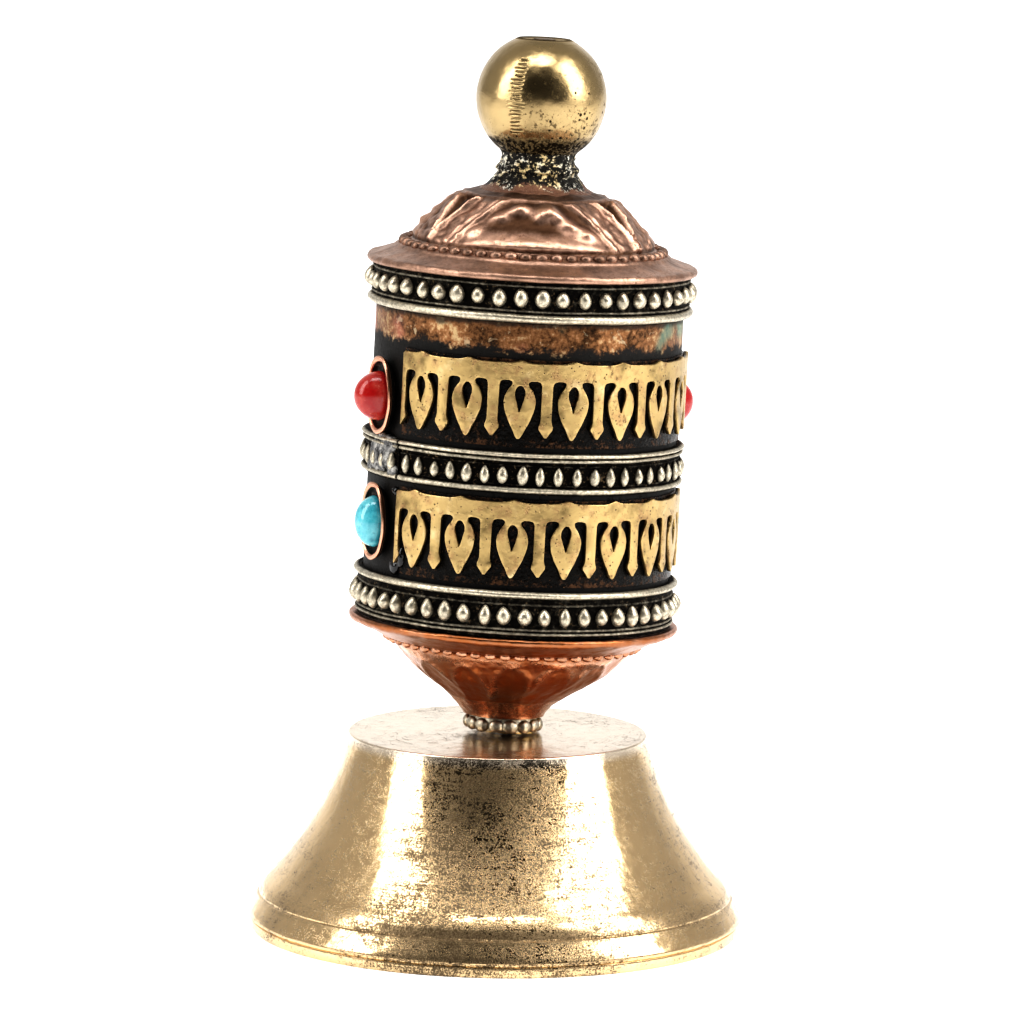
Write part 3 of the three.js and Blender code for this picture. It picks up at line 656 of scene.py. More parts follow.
def turned(name, outline, rounds=256, shape=None, sweep=None, sharp=35.0):
    """A solid of revolution about Z in millimetres.

    The outline is [radius, level] points. It starts and ends on the axis, or closes on itself.
    shape(index, radius, level, angle) may move a point and returns radius, level and a dict of
    attribute values. sweep is a start and an end angle, for a piece that doesn't go all round.
    """
    poles = outline[0][0] == 0 and outline[-1][0] == 0
    count = len(outline)
    start, end = sweep or (0.0, math.tau)
    columns = rounds + 1 if sweep else rounds
    vertices, faces, values = [], [], {}
    for j in range(columns):
        angle = start + (end - start) * j / rounds
        for i, (radius, level) in enumerate(outline):
            extra = {}
            if shape:
                radius, level, extra = shape(i, radius, level, angle)
            vertices.append((radius * math.sin(angle), -radius * math.cos(angle), level))
            for key, value in extra.items():
                values.setdefault(key, {})[len(vertices) - 1] = value
    last = count - 1 if poles else count
    for j in range(rounds):
        near, far = j * count, ((j + 1) % columns) * count
        for i in range(last):
            k = (i + 1) % count
            faces.append((near + i, far + i, far + k, near + k))
    if sweep:
        faces.append(tuple(range(count)))
        faces.append(tuple(reversed(range(rounds * count, rounds * count + count))))
    mesh = bpy.data.meshes.new(name)
    mesh.from_pydata(vertices, [], faces)
    for key, found in values.items():
        attribute = mesh.attributes.new(key, "FLOAT", "POINT")
        attribute.data.foreach_set("value", [found.get(i, 0.0) for i in range(len(vertices))])
    tidy_mesh(mesh, sharp, merge=poles)
    return mesh


def tidy_mesh(mesh, sharp=35.0, merge=True):
    """Merges doubles, turns faces outwards and smooths all but the sharp edges."""
    work = bmesh.new()
    work.from_mesh(mesh)
    if merge:
        bmesh.ops.remove_doubles(work, verts=work.verts, dist=1e-5)
        bmesh.ops.dissolve_degenerate(work, edges=work.edges, dist=1e-6)
    bmesh.ops.recalc_face_normals(work, faces=work.faces)
    work.to_mesh(mesh)
    work.free()
    mesh.shade_smooth()
    mesh.set_sharp_from_angle(angle=math.radians(sharp))


def add_piece(name, mesh, body, material, place=ON_SPINDLE, replaces=()):
    """Sets a mesh made in millimetres in its place, as a piece that rides on a body."""
    mesh.transform(place @ Matrix.Scale(MM, 4))
    mesh.update()
    if material:
        mesh.materials.clear()
        mesh.materials.append(material)
    piece = bpy.data.objects.new(name, mesh)
    bpy.context.scene.collection.objects.link(piece)
    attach(piece, body)
    if replaces:
        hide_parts(*replaces)
    return piece


def plain_copy(piece, name):
    """The finished mesh of an object with its modifiers; the object is removed."""
    graph = bpy.context.evaluated_depsgraph_get()
    mesh = bpy.data.meshes.new_from_object(piece.evaluated_get(graph), depsgraph=graph)
    mesh.name = name
    piece.modifiers.clear()
    data = piece.data
    bpy.data.objects.remove(piece)
    if isinstance(data, bpy.types.Mesh):
        bpy.data.meshes.remove(data)
    return mesh


# ---------------------------------------------------------------- rings of beads

BEAD_INPUTS = (
    ("Count", "NodeSocketInt"),
    ("Ring radius", "NodeSocketFloat"),
    ("Level", "NodeSocketFloat"),
    ("Start angle", "NodeSocketFloat"),
    ("End angle", "NodeSocketFloat"),
    ("Depth", "NodeSocketFloat"),
    ("Width", "NodeSocketFloat"),
    ("Height", "NodeSocketFloat"),
    ("Point", "NodeSocketFloat"),
    ("Unevenness", "NodeSocketFloat"),
    ("Seed", "NodeSocketInt"),
    ("Finish", "NodeSocketMaterial"),
)


def bead_tree():
    """Geometry Nodes that set pointed beads round a ring about Z."""
    found = bpy.data.node_groups.get("ring_of_beads")
    if found:
        return found
    tree = bpy.data.node_groups.new("ring_of_beads", "GeometryNodeTree")
    tree.interface.new_socket("Geometry", in_out="OUTPUT", socket_type="NodeSocketGeometry")
    for name, kind in BEAD_INPUTS:
        tree.interface.new_socket(name, in_out="INPUT", socket_type=kind)
    n = Nodes(tree)
    given = n.node("NodeGroupInput")
    value = {
        name: Amount(n, given.outputs[name]) for name, kind in BEAD_INPUTS if kind != "NodeSocketMaterial"
    }
    index = Amount(n, n.node("GeometryNodeInputIndex").outputs[0])
    line = n.node("GeometryNodeMeshLine", {"mode": "OFFSET"}, {"Count": value["Count"]})
    jitter = n.node(
        "FunctionNodeRandomValue",
        {"data_type": "FLOAT"},
        {"Min": value["Unevenness"] * -0.5, "Max": value["Unevenness"] * 0.5, "Seed": value["Seed"]},
    )
    share = (index + 0.5 + n.amount(jitter, "Value")) / value["Count"]
    angle = value["Start angle"] + (value["End angle"] - value["Start angle"]) * share
    x = value["Ring radius"] * angle.sum("SINE", angle)
    y = value["Ring radius"] * angle.sum("COSINE", angle) * -1.0
    wander = n.node(
        "FunctionNodeRandomValue",
        {"data_type": "FLOAT"},
        {"Min": value["Unevenness"] * -0.25, "Max": value["Unevenness"] * 0.25, "Seed": value["Seed"] + 7.0},
    )
    level = value["Level"] + n.amount(wander, "Value") * value["Height"]
    ring = n.node(
        "GeometryNodeSetPosition", {}, {"Geometry": line.outputs[0], "Position": n.vector(x, y, level)}
    )
    ball = n.node("GeometryNodeMeshUVSphere", {}, {"Segments": 12, "Rings": 8, "Radius": 0.5})
    px, py, pz = n.parts(n.node("GeometryNodeInputPosition").outputs[0])
    waist = 1.0 - (pz * 2.0).most(0.0) * value["Point"]
    pear = n.node(
        "GeometryNodeSetPosition", {},
        {"Geometry": ball.outputs[0], "Position": n.vector(px * waist, py * waist, pz)}
    )
    uneven = n.node(
        "FunctionNodeRandomValue",
        {"data_type": "FLOAT_VECTOR"},
        {
            "Min": n.vector(*[1.0 - value["Unevenness"]] * 3),
            "Max": n.vector(*[1.0 + value["Unevenness"]] * 3),
            "Seed": value["Seed"] + 3.0,
        },
    )
    size = n.node(
        "ShaderNodeVectorMath",
        {"operation": "MULTIPLY"},
        {0: n.vector(value["Depth"], value["Width"], value["Height"]), 1: n.named(uneven.outputs, "Value")},
    )
    lean = n.node(
        "FunctionNodeRandomValue",
        {"data_type": "FLOAT"},
        {"Min": value["Unevenness"] * -0.7, "Max": value["Unevenness"] * 0.7, "Seed": value["Seed"] + 11.0},
    )
    turn = n.vector(n.amount(lean, "Value"), 0.0, angle - math.pi / 2)
    beads = n.node(
        "GeometryNodeInstanceOnPoints",
        {},
        {
            "Points": ring.outputs[0],
            "Instance": pear.outputs[0],
            "Rotation": n.node("FunctionNodeEulerToRotation", {}, {0: turn}).outputs[0],
            "Scale": size.outputs[0],
        },
    )
    real = n.node("GeometryNodeRealizeInstances", {}, {"Geometry": beads.outputs[0]})
    soft = n.node("GeometryNodeSetShadeSmooth", {}, {"Geometry": real.outputs[0]})
    painted = n.node(
        "GeometryNodeSetMaterial", {}, {"Geometry": soft.outputs[0], "Material": given.outputs["Finish"]}
    )
    n.node("NodeGroupOutput", {}, {0: painted.outputs[0]})
    return tree


def ring_of_beads(name, material, **values):
    """A plain mesh of beads round a ring. Names use _ for a space."""
    tree = bead_tree()
    given = {"Start angle": 0.0, "End angle": math.tau, "Point": 0.0, "Unevenness": 0.1, "Seed": 1}
    given.update({key.replace("_", " ").capitalize(): value for key, value in values.items()})
    given["Finish"] = material
    blank = bpy.data.objects.new(name, bpy.data.meshes.new(name))
    bpy.context.scene.collection.objects.link(blank)
    modifier = blank.modifiers.new("beads", "NODES")
    modifier.node_group = tree
    for item in tree.interface.items_tree:
        if item.in_out == "INPUT":
            modifier[item.identifier] = given[item.name]
    return plain_copy(blank, name)


# ---------------------------------------------------------------- operators: stand


class WheelOperator:
    """What the operators share."""

    bl_options = {"REGISTER", "UNDO"}

    def execute(self, context):
        self.make(context)
        return {"FINISHED"}


class WHEEL_OT_stand(WheelOperator, bpy.types.Operator):
    """Turns the brass bell of the stand and bores it for the spindle."""

    bl_idname = "wheel.stand"
    bl_label = "Stand"

    def make(self, context):
        _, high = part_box("stand_bell")
        foot = high.x / MM
        top = high.z / MM
        edge = context.scene.wheel_sizes.edge_round
        face = STAND_FACE
        flank_top = [face, top - edge]
        corner = [
            [
                face - edge + edge * math.sin(math.pi / 2 * i / 6),
                top - edge + edge * math.cos(math.pi / 2 * i / 6),
            ]
            for i in range(7)
        ]
        bell = []
        for i in range(1, 41):
            t = i / 40
            bell.append([
                (1 - t) ** 2 * flank_top[0] + 2 * t * (1 - t) * 17.2 + t * t * (foot - 2.6),
                (1 - t) ** 2 * flank_top[1] + 2 * t * (1 - t) * 13.2 + t * t * 6.0,
            ])
        foot_line = smooth_line(
            [[foot - 2.6, 6.0], [foot - 2.0, 5.38], [foot - 1.52, 4.75], [foot - 1.2, 4.05]], 4
        )
        rim = [
            [foot - 1.15, 3.9],
            [foot - 1.17, 3.78],
            [foot - 0.98, 3.66],
            [foot - 0.6, 2.9],
            [foot - 0.2, 2.2],
            [foot - 0.02, 1.75],
            [foot, 1.6],
            [foot - 0.1, 1.46],
            [foot - 0.42, 1.34],
            [foot - 0.42, 1.24],
            [foot - 0.28, 1.14],
            [foot - 0.22, 0.9],
            [foot - 0.26, 0.35],
            [foot - 0.42, 0.08],
            [foot - 0.62, 0.0],
            [foot - 4.5, 0.0],
        ]
        inner = smooth_line([[foot - 4.5, 4.0], [19.2, 6.2], [17.0, 9.3], [15.2, 13.0], [14.1, 16.4],
            [13.75, 18.3]], 5)
        outline = [[0, 18.4], [13.6, 18.4], *reversed(inner), *reversed(rim), *reversed(foot_line[1:])]
        outline += [*reversed(bell), *reversed(corner), [face - edge - 0.4, top], [9.0, top], [5.0, top],
            [0, top]]

        def handmade(index, radius, level, angle):
            drift = 0.03 * wobble(math.sin(angle), math.cos(angle), level * 0.08, 1.3)
            return radius + (drift if radius > 1 else 0), level, {}

        mesh = turned("stand_bell_turned", outline, 288, handmade, sharp=28)
        rod = turned("bore", [[0, -6], [BORE, -6], [BORE, 4], [0, 4]], 48)
        rod.transform(Matrix.Scale(1 / MM, 4) @ ON_SPINDLE @ Matrix.Scale(MM, 4))
        bell_object = bpy.data.objects.new("bell", mesh)
        rod_object = bpy.data.objects.new("bore", rod)
        for item in (bell_object, rod_object):
            context.scene.collection.objects.link(item)
        bore = bell_object.modifiers.new("bore", "BOOLEAN")
        bore.object, bore.solver = rod_object, "EXACT"
        bored = plain_copy(bell_object, "stand_bell_turned")
        bpy.data.objects.remove(rod_object)
        tidy_mesh(bored, 28)
        add_piece(
            "stand_bell_turned", bored, "stand", polished_brass(), Matrix.Identity(4),
            ["stand_bell"]
        )


class WHEEL_OT_running_gear(WheelOperator, bpy.types.Operator):
    """Gives the spindle, nut, washers, sleeve, bushes, stud and paper roll their finishes."""

    bl_idname = "wheel.running_gear"
    bl_label = "Running gear"

    def make(self, context):
        steel = plain_metal("turned_steel", (0.55, 0.55, 0.54), 0.30)
        brass = plain_metal("turned_brass", (0.66, 0.48, 0.22), 0.30)
        paper = rolled_paper()
        wanted = {
            "spindle": steel,
            "stand_washer": steel,
            "spindle_nut": steel,
            "finial_stud": plain_metal("dark_steel", (0.17, 0.13, 0.09), 0.55),
            "thrust_washer": brass,
            "drum_sleeve": brass,
            "lower_bush": brass,
            "upper_bush": brass,
            "paper_scroll": paper,
        }
        for node, material in wanted.items():
            frame["nodes"][node].data.materials.clear()
            frame["nodes"][node].data.materials.append(material)


# ---------------------------------------------------------------- operators: lids


def hump(value, middle, width):
    """1 in the middle, falling smoothly to 0."""
    return math.exp(-(((value - middle) / width) ** 2))


# Cloud-like lumps on each large petal: place across it and up it, half width, half height, rise.
LUMPS = (
    (-0.66, 0.62, 0.20, 0.13, 0.70),
    (-0.36, 0.76, 0.22, 0.12, 1.00),
    (0.08, 0.66, 0.16, 0.16, 0.55),
    (0.34, 0.72, 0.22, 0.17, 1.00),
    (0.56, 0.54, 0.16, 0.15, 0.90),
    (0.76, 0.36, 0.13, 0.14, 0.85),
    (-0.86, 0.34, 0.12, 0.16, 0.60),
)


def upper_petals(angle, rise):
    """Height from -1 to 1 of three large chased petals with broad borders and hollows between."""
    pitch = math.tau / 3
    turn = (angle + pitch / 2) % pitch - pitch / 2
    v = min(max(rise, 0.0), 1.0)
    out = math.degrees(abs(turn)) + 2.2 * wobble(math.sin(angle) * 3, math.cos(angle) * 3, v * 2, 1.0, 4)
    field = 44 - 23 * v + 3.0 * math.sin(math.pi * v)
    border = 60 - 15 * v**1.5 + 1.5 * math.sin(math.pi * v)
    height = 0.50 * hump(out, field, 2.0) + 0.22 * hump(out, field + 4.6, 1.8) + 0.75 * hump(out, border, 2.6)
    if out < field:
        side = math.degrees(turn) / field
        height += 0.62 * hump(v, 0.15, 0.25) * (1 - side**4) - 0.25 * hump(v, 0.60, 0.20) * (1 - side**4)
        for across, up, wide, tall, lift in LUMPS:
            steep = 0.55 if v < up else 1.0
            height += 0.95 * lift * hump(side, across, wide) * hump(v, up, tall * steep)
    elif out < border:
        share = (out - field) / (border - field)
        height += 0.28 * math.sin(math.pi * share)
        height += 0.22 * wobble(math.sin(angle) * 11, math.cos(angle) * 11, v * 9, 1.1, 6)
    else:
        share = (out - border) / max(1.0, 60.0 - border)
        height -= 0.95 * math.sin(math.pi / 2 * min(1.0, share * 1.5)) * min(1.0, v * 3.0)
    ends = min(1.0, v * 12.0) * min(1.0, (1.0 - v) * 10.0)
    crest = 0.75 + 0.5 * wobble(math.sin(angle) * 4, math.cos(angle) * 4, 0, 1.0, 9)
    return height * ends + 0.30 * crest * hump(rise, 1.03, 0.06)


def lower_petals(angle, rise):
    """Height from -1 to 1 of a ring of soft pointed petals that open from the neck."""
    pitch = math.tau / 14
    turn = (angle + pitch / 2) % pitch - pitch / 2
    v = min(max(rise, 0.0), 1.0)
    tip = 0.74 + 0.05 * math.sin(angle * 2)
    if v < tip:
        half = pitch / 2 * (1 - (v / tip) ** 2.2) ** 0.6
        u = min(1.0, abs(turn) / (half + 1e-6))
        height = 0.16 * hump(abs(turn), half, 0.05)
        if abs(turn) < half:
            depth = 0.15 + 0.10 * wobble(math.floor((angle + pitch / 2) / pitch) * 1.7, 2.2, 0, 1.0)
            height += -depth * (1 - u * u) * (v / tip) + 0.10 * hump(turn, 0, 0.04) * (v / tip)
    else:
        height = 0.20 * hump(v, tip, 0.07) * hump(turn, 0, 0.12)
    height += 0.25 * hump(v, 0.86, 0.12) + 0.22 * wobble(
        math.sin(angle) * 5, math.cos(angle) * 5, v * 2, 1.0, 12
    )
    ends = min(1.0, v * 6.0) * min(1.0, (1.0 - v) * 8.0)
    return height * ends


def lid_mesh(name, outer, inner, dome, petals, rise_mm):
    """A chased lid: its outer line carries petals between two of its points, its inner line is plain.

    dome is the outer line's first and last index of the petals.
    """
    line = smooth_line(outer, 5)
    first, last = dome[0] * 5, dome[1] * 5
    normals = []
    for i in range(len(line)):
        a, b = line[max(0, i - 1)], line[min(len(line) - 1, i + 1)]
        dr, dz = b[0] - a[0], b[1] - a[1]
        size = math.hypot(dr, dz) or 1.0
        normals.append((dz / size, -dr / size))
    way = 1.0 if normals[(first + last) // 2][0] > 0 else -1.0
    back = smooth_line(inner, 2)
    outline = [*line, *reversed(back)]

    def chase(index, radius, level, angle):
        if index >= len(line):
            return radius, level, {"relief": 0.0}
        share = (index - first) / (last - first)
        height = petals(angle, share) if 0 <= share <= 1.3 else 0.0
        dent = 0.10 * wobble(radius * math.sin(angle), radius * math.cos(angle), level, 0.45)
        dent += 0.04 * wobble(radius * math.sin(angle), radius * math.cos(angle), level, 1.6, 5.0)
        fade = 1.0 if index > 6 else index / 6
        move = (height * rise_mm + dent * fade) * way
        n = normals[index]
        flat = 0.30 if share < 0 else 0.05
        return radius + n[0] * move, level + n[1] * move, {"relief": height if 0 <= share <= 1.12 else flat}

    return turned(name, outline, 480, chase, sharp=60)


class WHEEL_OT_lids(WheelOperator, bpy.types.Operator):
    """Chases petals into the two copper lids and sets the beaded cord round each."""

    bl_idname = "wheel.lids"
    bl_label = "Lids"

    def make(self, context):
        s = context.scene.wheel_sizes
        upper = reach("upper_lid")
        lower = reach("lower_lid")
        rose = lid_copper("rose_copper", (0.50, 0.315, 0.23), (0.085, 0.045, 0.026), 0.50)
        red = lid_copper("red_copper", (0.68, 0.37, 0.235), (0.34, 0.125, 0.045), 0.32)
        base = upper.low
        dome = [
            [17.02, base + 0.04], [17.2, base + 0.2], [17.22, base + 0.5], [17.0, base + 0.78],
            [16.5, base + 0.93], [15.6, base + 1.22], [14.6, base + 1.62], [14.25, base + 1.95],
            [13.7, base + 2.12], [13.05, base + 2.35], [12.6, base + 2.6], [12.2, base + 3.15],
            [11.65, base + 3.8], [10.95, base + 4.6], [10.2, base + 5.4], [9.4, base + 6.2],
            [8.4, base + 7.0], [7.6, base + 7.45], [6.9, base + 7.8], [6.2, base + 8.05],
            [5.4, upper.high - 0.05], [4.0, upper.high], [2.6, upper.high],
        ]
        under = [
            [16.9, base + 0.02], [13.4, base + 1.3], [11.7, base + 2.0], [10.6, base + 3.2],
            [9.3, base + 4.8], [7.9, base + 6.1], [6.2, base + 7.0], [4.5, upper.high - 0.7],
            [2.62, upper.high - 0.7],
        ]
        mesh = lid_mesh("upper_lid_chased", dome, under, (10, 17), upper_petals, s.petal_rise)
        add_piece("upper_lid_chased", mesh, "drum", rose, replaces=["upper_lid"])
        cord = ring_of_beads(
            "upper_cord", rose, count=s.cord_beads, ring_radius=13.5, level=base + 2.22, depth=1.2, width=1.4,
            height=1.05, unevenness=0.10, seed=3,
        )
        give_relief(cord, 0.22)
        add_piece("upper_cord", cord, "drum", rose)

        flange = lower.high
        bowl = [
            [17.02, flange - 0.04], [17.2, flange - 0.2], [17.2, flange - 0.5], [16.95, flange - 0.78],
            [16.3, flange - 1.05], [15.4, flange - 1.4], [14.4, flange - 1.85], [13.9, flange - 2.15],
            [13.3, flange - 2.3], [12.7, flange - 2.6], [12.2, 9.1], [11.55, 8.3], [10.8, 7.4],
            [9.85, 6.5], [8.6, 5.6], [7.25, 4.75], [6.2, 4.0], [5.35, 3.3], [4.75, 2.7], [4.4, 2.3],
            [4.25, 1.95],
        ]
        above = [
            [16.9, flange - 0.02], [13.4, flange - 1.3], [11.6, flange - 2.1], [10.3, 8.3], [8.7, 6.9],
            [6.9, 5.8], [5.2, 4.8], [4.3, 3.8], [3.8, 2.9], [3.66, 2.3], [3.62, 1.95],
        ]
        mesh = lid_mesh(
            "lower_lid_chased", list(reversed(bowl)), above[::-1], (4, 11), lower_petals, s.petal_rise * 0.7
        )
        shift_neck(mesh)
        add_piece("lower_lid_chased", mesh, "drum", red, replaces=["lower_lid"])
        cord = ring_of_beads(
            "lower_cord", red, count=s.cord_beads, ring_radius=13.15, level=flange - 2.38, depth=1.0,
            width=1.3,
            height=0.95, unevenness=0.12, seed=4,
        )
        give_relief(cord, 0.25)
        add_piece("lower_cord", cord, "drum", red)


def shift_neck(mesh):
    """Sets the neck a little off the drum's axis, where the smith's punch wandered."""
    top, foot = 6.5, 3.0
    for vertex in mesh.vertices:
        share = min(1.0, max(0.0, (top - vertex.co.z) / (top - foot)))
        vertex.co.x -= NECK_SHIFT * share * share * (3 - 2 * share)


def give_relief(mesh, value):
    """Marks a whole mesh as standing out by one amount."""
    attribute = mesh.attributes.new("relief", "FLOAT", "POINT")
    attribute.data.foreach_set("value", [value] * len(mesh.vertices))


# ---------------------------------------------------------------- operators: drum


class WHEEL_OT_shell(WheelOperator, bpy.types.Operator):
    """Rolls the drum's copper shell, a little dented."""

    bl_idname = "wheel.shell"
    bl_label = "Shell"

    def make(self, context):
        shell = reach("drum_shell")
        steps = 60
        levels = [shell.low + (shell.high - shell.low) * i / steps for i in range(steps + 1)]
        outline = [[shell.outer, level] for level in levels]
        outline += [[shell.outer - 0.55, level] for level in reversed(levels)]

        def dented(index, radius, level, angle):
            dent = 0.06 * wobble(math.sin(angle) * 16, math.cos(angle) * 16, level, 0.16)
            return radius + (dent - 0.03 if radius >= shell.outer else 0), level, {}

        mesh = turned("drum_shell_rolled", outline, 288, dented)
        add_piece("drum_shell_rolled", mesh, "drum", mottled_copper(), replaces=["drum_shell"])


class WHEEL_OT_bands(WheelOperator, bpy.types.Operator):
    """Draws the three white-metal bands and the neck ring, and sets their beads."""

    bl_idname = "wheel.bands"
    bl_label = "Bands"

    def make(self, context):
        s = context.scene.wheel_sizes
        metal = white_metal()
        self.band("lower_band", metal, s, s.lower_beads, 14.55, 2.05, 1.48, 17.3,
                  [(12.75, 0.34, 0.5), (13.2, 0.30, 0.35), (15.75, 0.28, 0.2), (16.77, 0.75, 1.1)], 0.32, 11)
        self.band("middle_band", metal, s, s.middle_beads, 29.1, 1.9, 1.15, 16.9,
                  [(27.6, 0.62, 0.85), (28.15, 0.25, 0.2), (30.15, 0.24, 0.2), (30.7, 0.42, 0.75),
                      (31.22, 0.5, 1.0)], 0.35, 12)
        self.band("upper_band", metal, s, s.upper_beads, 47.35, 1.85, 1.55, 17.25,
                  [(45.3, 0.9, 1.1), (46.05, 0.28, 0.35), (48.6, 0.3, 0.3)], 0.22, 13)
        ring = reach("neck_ring")
        level = (ring.low + ring.high) / 2
        core = [
            [ring.inner, ring.low + 0.15],
            [ring.outer - 0.55, ring.low + 0.15],
            [ring.outer - 0.4, level],
            [ring.outer - 0.55, ring.high],
            [ring.inner, ring.high],
        ]
        bright = white_metal("neck_metal", ring.outer - 1.3, ring.outer - 0.9)
        mesh = turned("neck_ring_core", core, 96)
        shift_neck(mesh)
        add_piece("neck_ring_core", mesh, "drum", bright, replaces=["neck_ring"])
        beads = ring_of_beads(
            "neck_ring_beads", bright, count=s.neck_beads, ring_radius=ring.outer - 0.45,
            level=level - 0.03, depth=1.05,
            width=1.75, height=1.42, unevenness=0.08, seed=5,
        )
        shift_neck(beads)
        add_piece("neck_ring_beads", beads, "drum", bright)

    def band(
        self, node, metal, s, count, bead_level, bead_height, bead_width, bead_reach, wires, point, seed
    ):
        """One band: a flat strip with half-round wires, each (level, width, share of the lift)."""
        r = reach(node)
        flat = r.inner + 0.35
        outline = [[r.inner, r.low], [flat, r.low]]
        for level, width, share in wires:
            outline += half_round(level, width, s.wire_lift * share, flat)
        outline += [[flat, r.high], [r.inner, r.high]]
        joint = None
        if node == "middle_band":
            joint = (reach("lower_backing_front").start + 0.02, reach("lower_backing_front").start + math.tau)

        def drawn(index, radius, level, angle):
            wave = 0.05 * wobble(math.sin(angle) * 8, math.cos(angle) * 8, level, 0.5, seed)
            wear = 0.05 * wobble(math.sin(angle) * 17, math.cos(angle) * 17, level, 1.5, seed + 2)
            proud = radius > flat + 0.02
            return radius + (wear if proud else 0.0), level + (wave if r.low < level < r.high else 0), {}

        mesh = turned(f"{node}_strip", outline, 360, drawn, joint, sharp=50)
        add_piece(f"{node}_strip", mesh, "drum", metal, replaces=[node])
        start, end = joint or (0.0, math.tau)
        beads = ring_of_beads(
            f"{node}_beads", metal, count=count, ring_radius=flat + 0.12, level=bead_level,
            depth=2 * (bead_reach - flat), width=bead_width, height=bead_height, point=point,
            unevenness=0.12, seed=seed, start_angle=start, end_angle=end,
        )
        add_piece(f"{node}_beads", beads, "drum", metal)


class WHEEL_OT_backings(WheelOperator, bpy.types.Operator):
    """Lays the blackened strips behind the friezes."""

    bl_idname = "wheel.backings"
    bl_label = "Backings"

    def make(self, context):
        pitch = black_pitch()
        for row in ("lower", "upper"):
            for side in ("front", "back"):
                self.strip(f"{row}_backing_{side}", pitch)

    def strip(self, node, pitch):
        r = reach(node)
        steps = 24
        levels = [r.low + (r.high - r.low) * i / steps for i in range(steps + 1)]
        outline = [[r.inner + 0.18, level] for level in levels]
        outline += [[r.inner, level] for level in reversed(levels)]

        def uneven(index, radius, level, angle):
            x, y = math.sin(angle) * 16, math.cos(angle) * 16
            edge = min(level - r.low, r.high - level, (angle - r.start) * 16, (r.end - angle) * 16)
            lump = 0.035 * wobble(x, y, level, 0.9, r.low) + 0.02
            lift = lump if index <= steps else 0.0
            marks = {"edge": max(0.0, 1.0 - edge / 1.3)}
            return radius + lift, level + 0.06 * wobble(x, y, 0, 0.5, r.low), marks

        mesh = turned(f"{node}_pitched", outline, 140, uneven, (r.start, r.end), sharp=60)
        add_piece(f"{node}_pitched", mesh, "drum", pitch, replaces=[node])


def round_off(points, size=0.16):
    """Cuts each corner of a closed outline back by a small length."""
    result = []
    count = len(points)
    for i, point in enumerate(points):
        p = Vector(point)
        for other in (Vector(points[i - 1]), Vector(points[(i + 1) % count])):
            way = other - p
            result.append(tuple(p + way * min(size / (way.length or 1.0), 0.3)))
    return result


FRONT_CELLS = 8  # petals along a front frieze, each with a bar
CELL_ANGLE = (reach("upper_frieze_front").end - reach("upper_frieze_front").start) / FRONT_CELLS


def frieze_outline(width, height, rail, cells):
    """The outer edge of a frieze and the eyes of its petals, on a flat sheet."""
    cell = width / cells
    bar = 1.35
    shoulder = height - rail
    edge = [(0, height)]
    for i in range(cells):
        left = i * cell
        for share, lift in ((0.26, 0.0), (0.40, 0.12), (0.50, 0.34), (0.60, 0.12), (0.74, 0.0)):
            edge.append((left + cell * share, height + lift))
    edge.append((width, height))
    flank = ((0.95, 0.0), (0.80, 0.40), (1.36, 1.1), (1.70, 2.0), (1.55, 3.1), (1.08, 4.3), (0.62, 5.1),
        (0.34, 5.8))
    eyes = []
    for i in reversed(range(cells)):
        middle = (i + 0.5) * cell
        right, left = middle + cell / 2 - bar / 2, middle - cell / 2 + bar / 2
        if i == cells - 1:
            edge.append((right + bar / 2, 0.0))
        edge += [(right + 0.16, 0.72), (right - 0.16, 1.15), (right + 0.10, 1.75)]
        edge += [(right + 0.06, shoulder - 0.3), (right - 0.24, shoulder)]
        down = [(middle + x, shoulder - y) for x, y in flank]
        up = [(middle - x, shoulder - y) for x, y in reversed(flank)]
        edge += down + [(middle, shoulder - 6.1)] + up
        edge += [(left + 0.24, shoulder), (left - 0.06, shoulder - 0.3), (left - 0.10, 1.75)]
        edge += [(left + 0.16, 1.15), (left - 0.16, 0.72)]
        if i:
            edge.append((left - bar / 2, 0.0))
        top = shoulder - 0.75
        eyes.append([
            (middle + x, top - y)
            for x, y in ((0, -0.35), (0.42, 0.0), (0.58, 0.55), (0.42, 1.2), (0.16, 2.0), (0, 2.6),
                         (-0.16, 2.0), (-0.42, 1.2), (-0.58, 0.55), (-0.42, 0.0))
        ])
    edge.append((0, 0.0))
    return edge, eyes


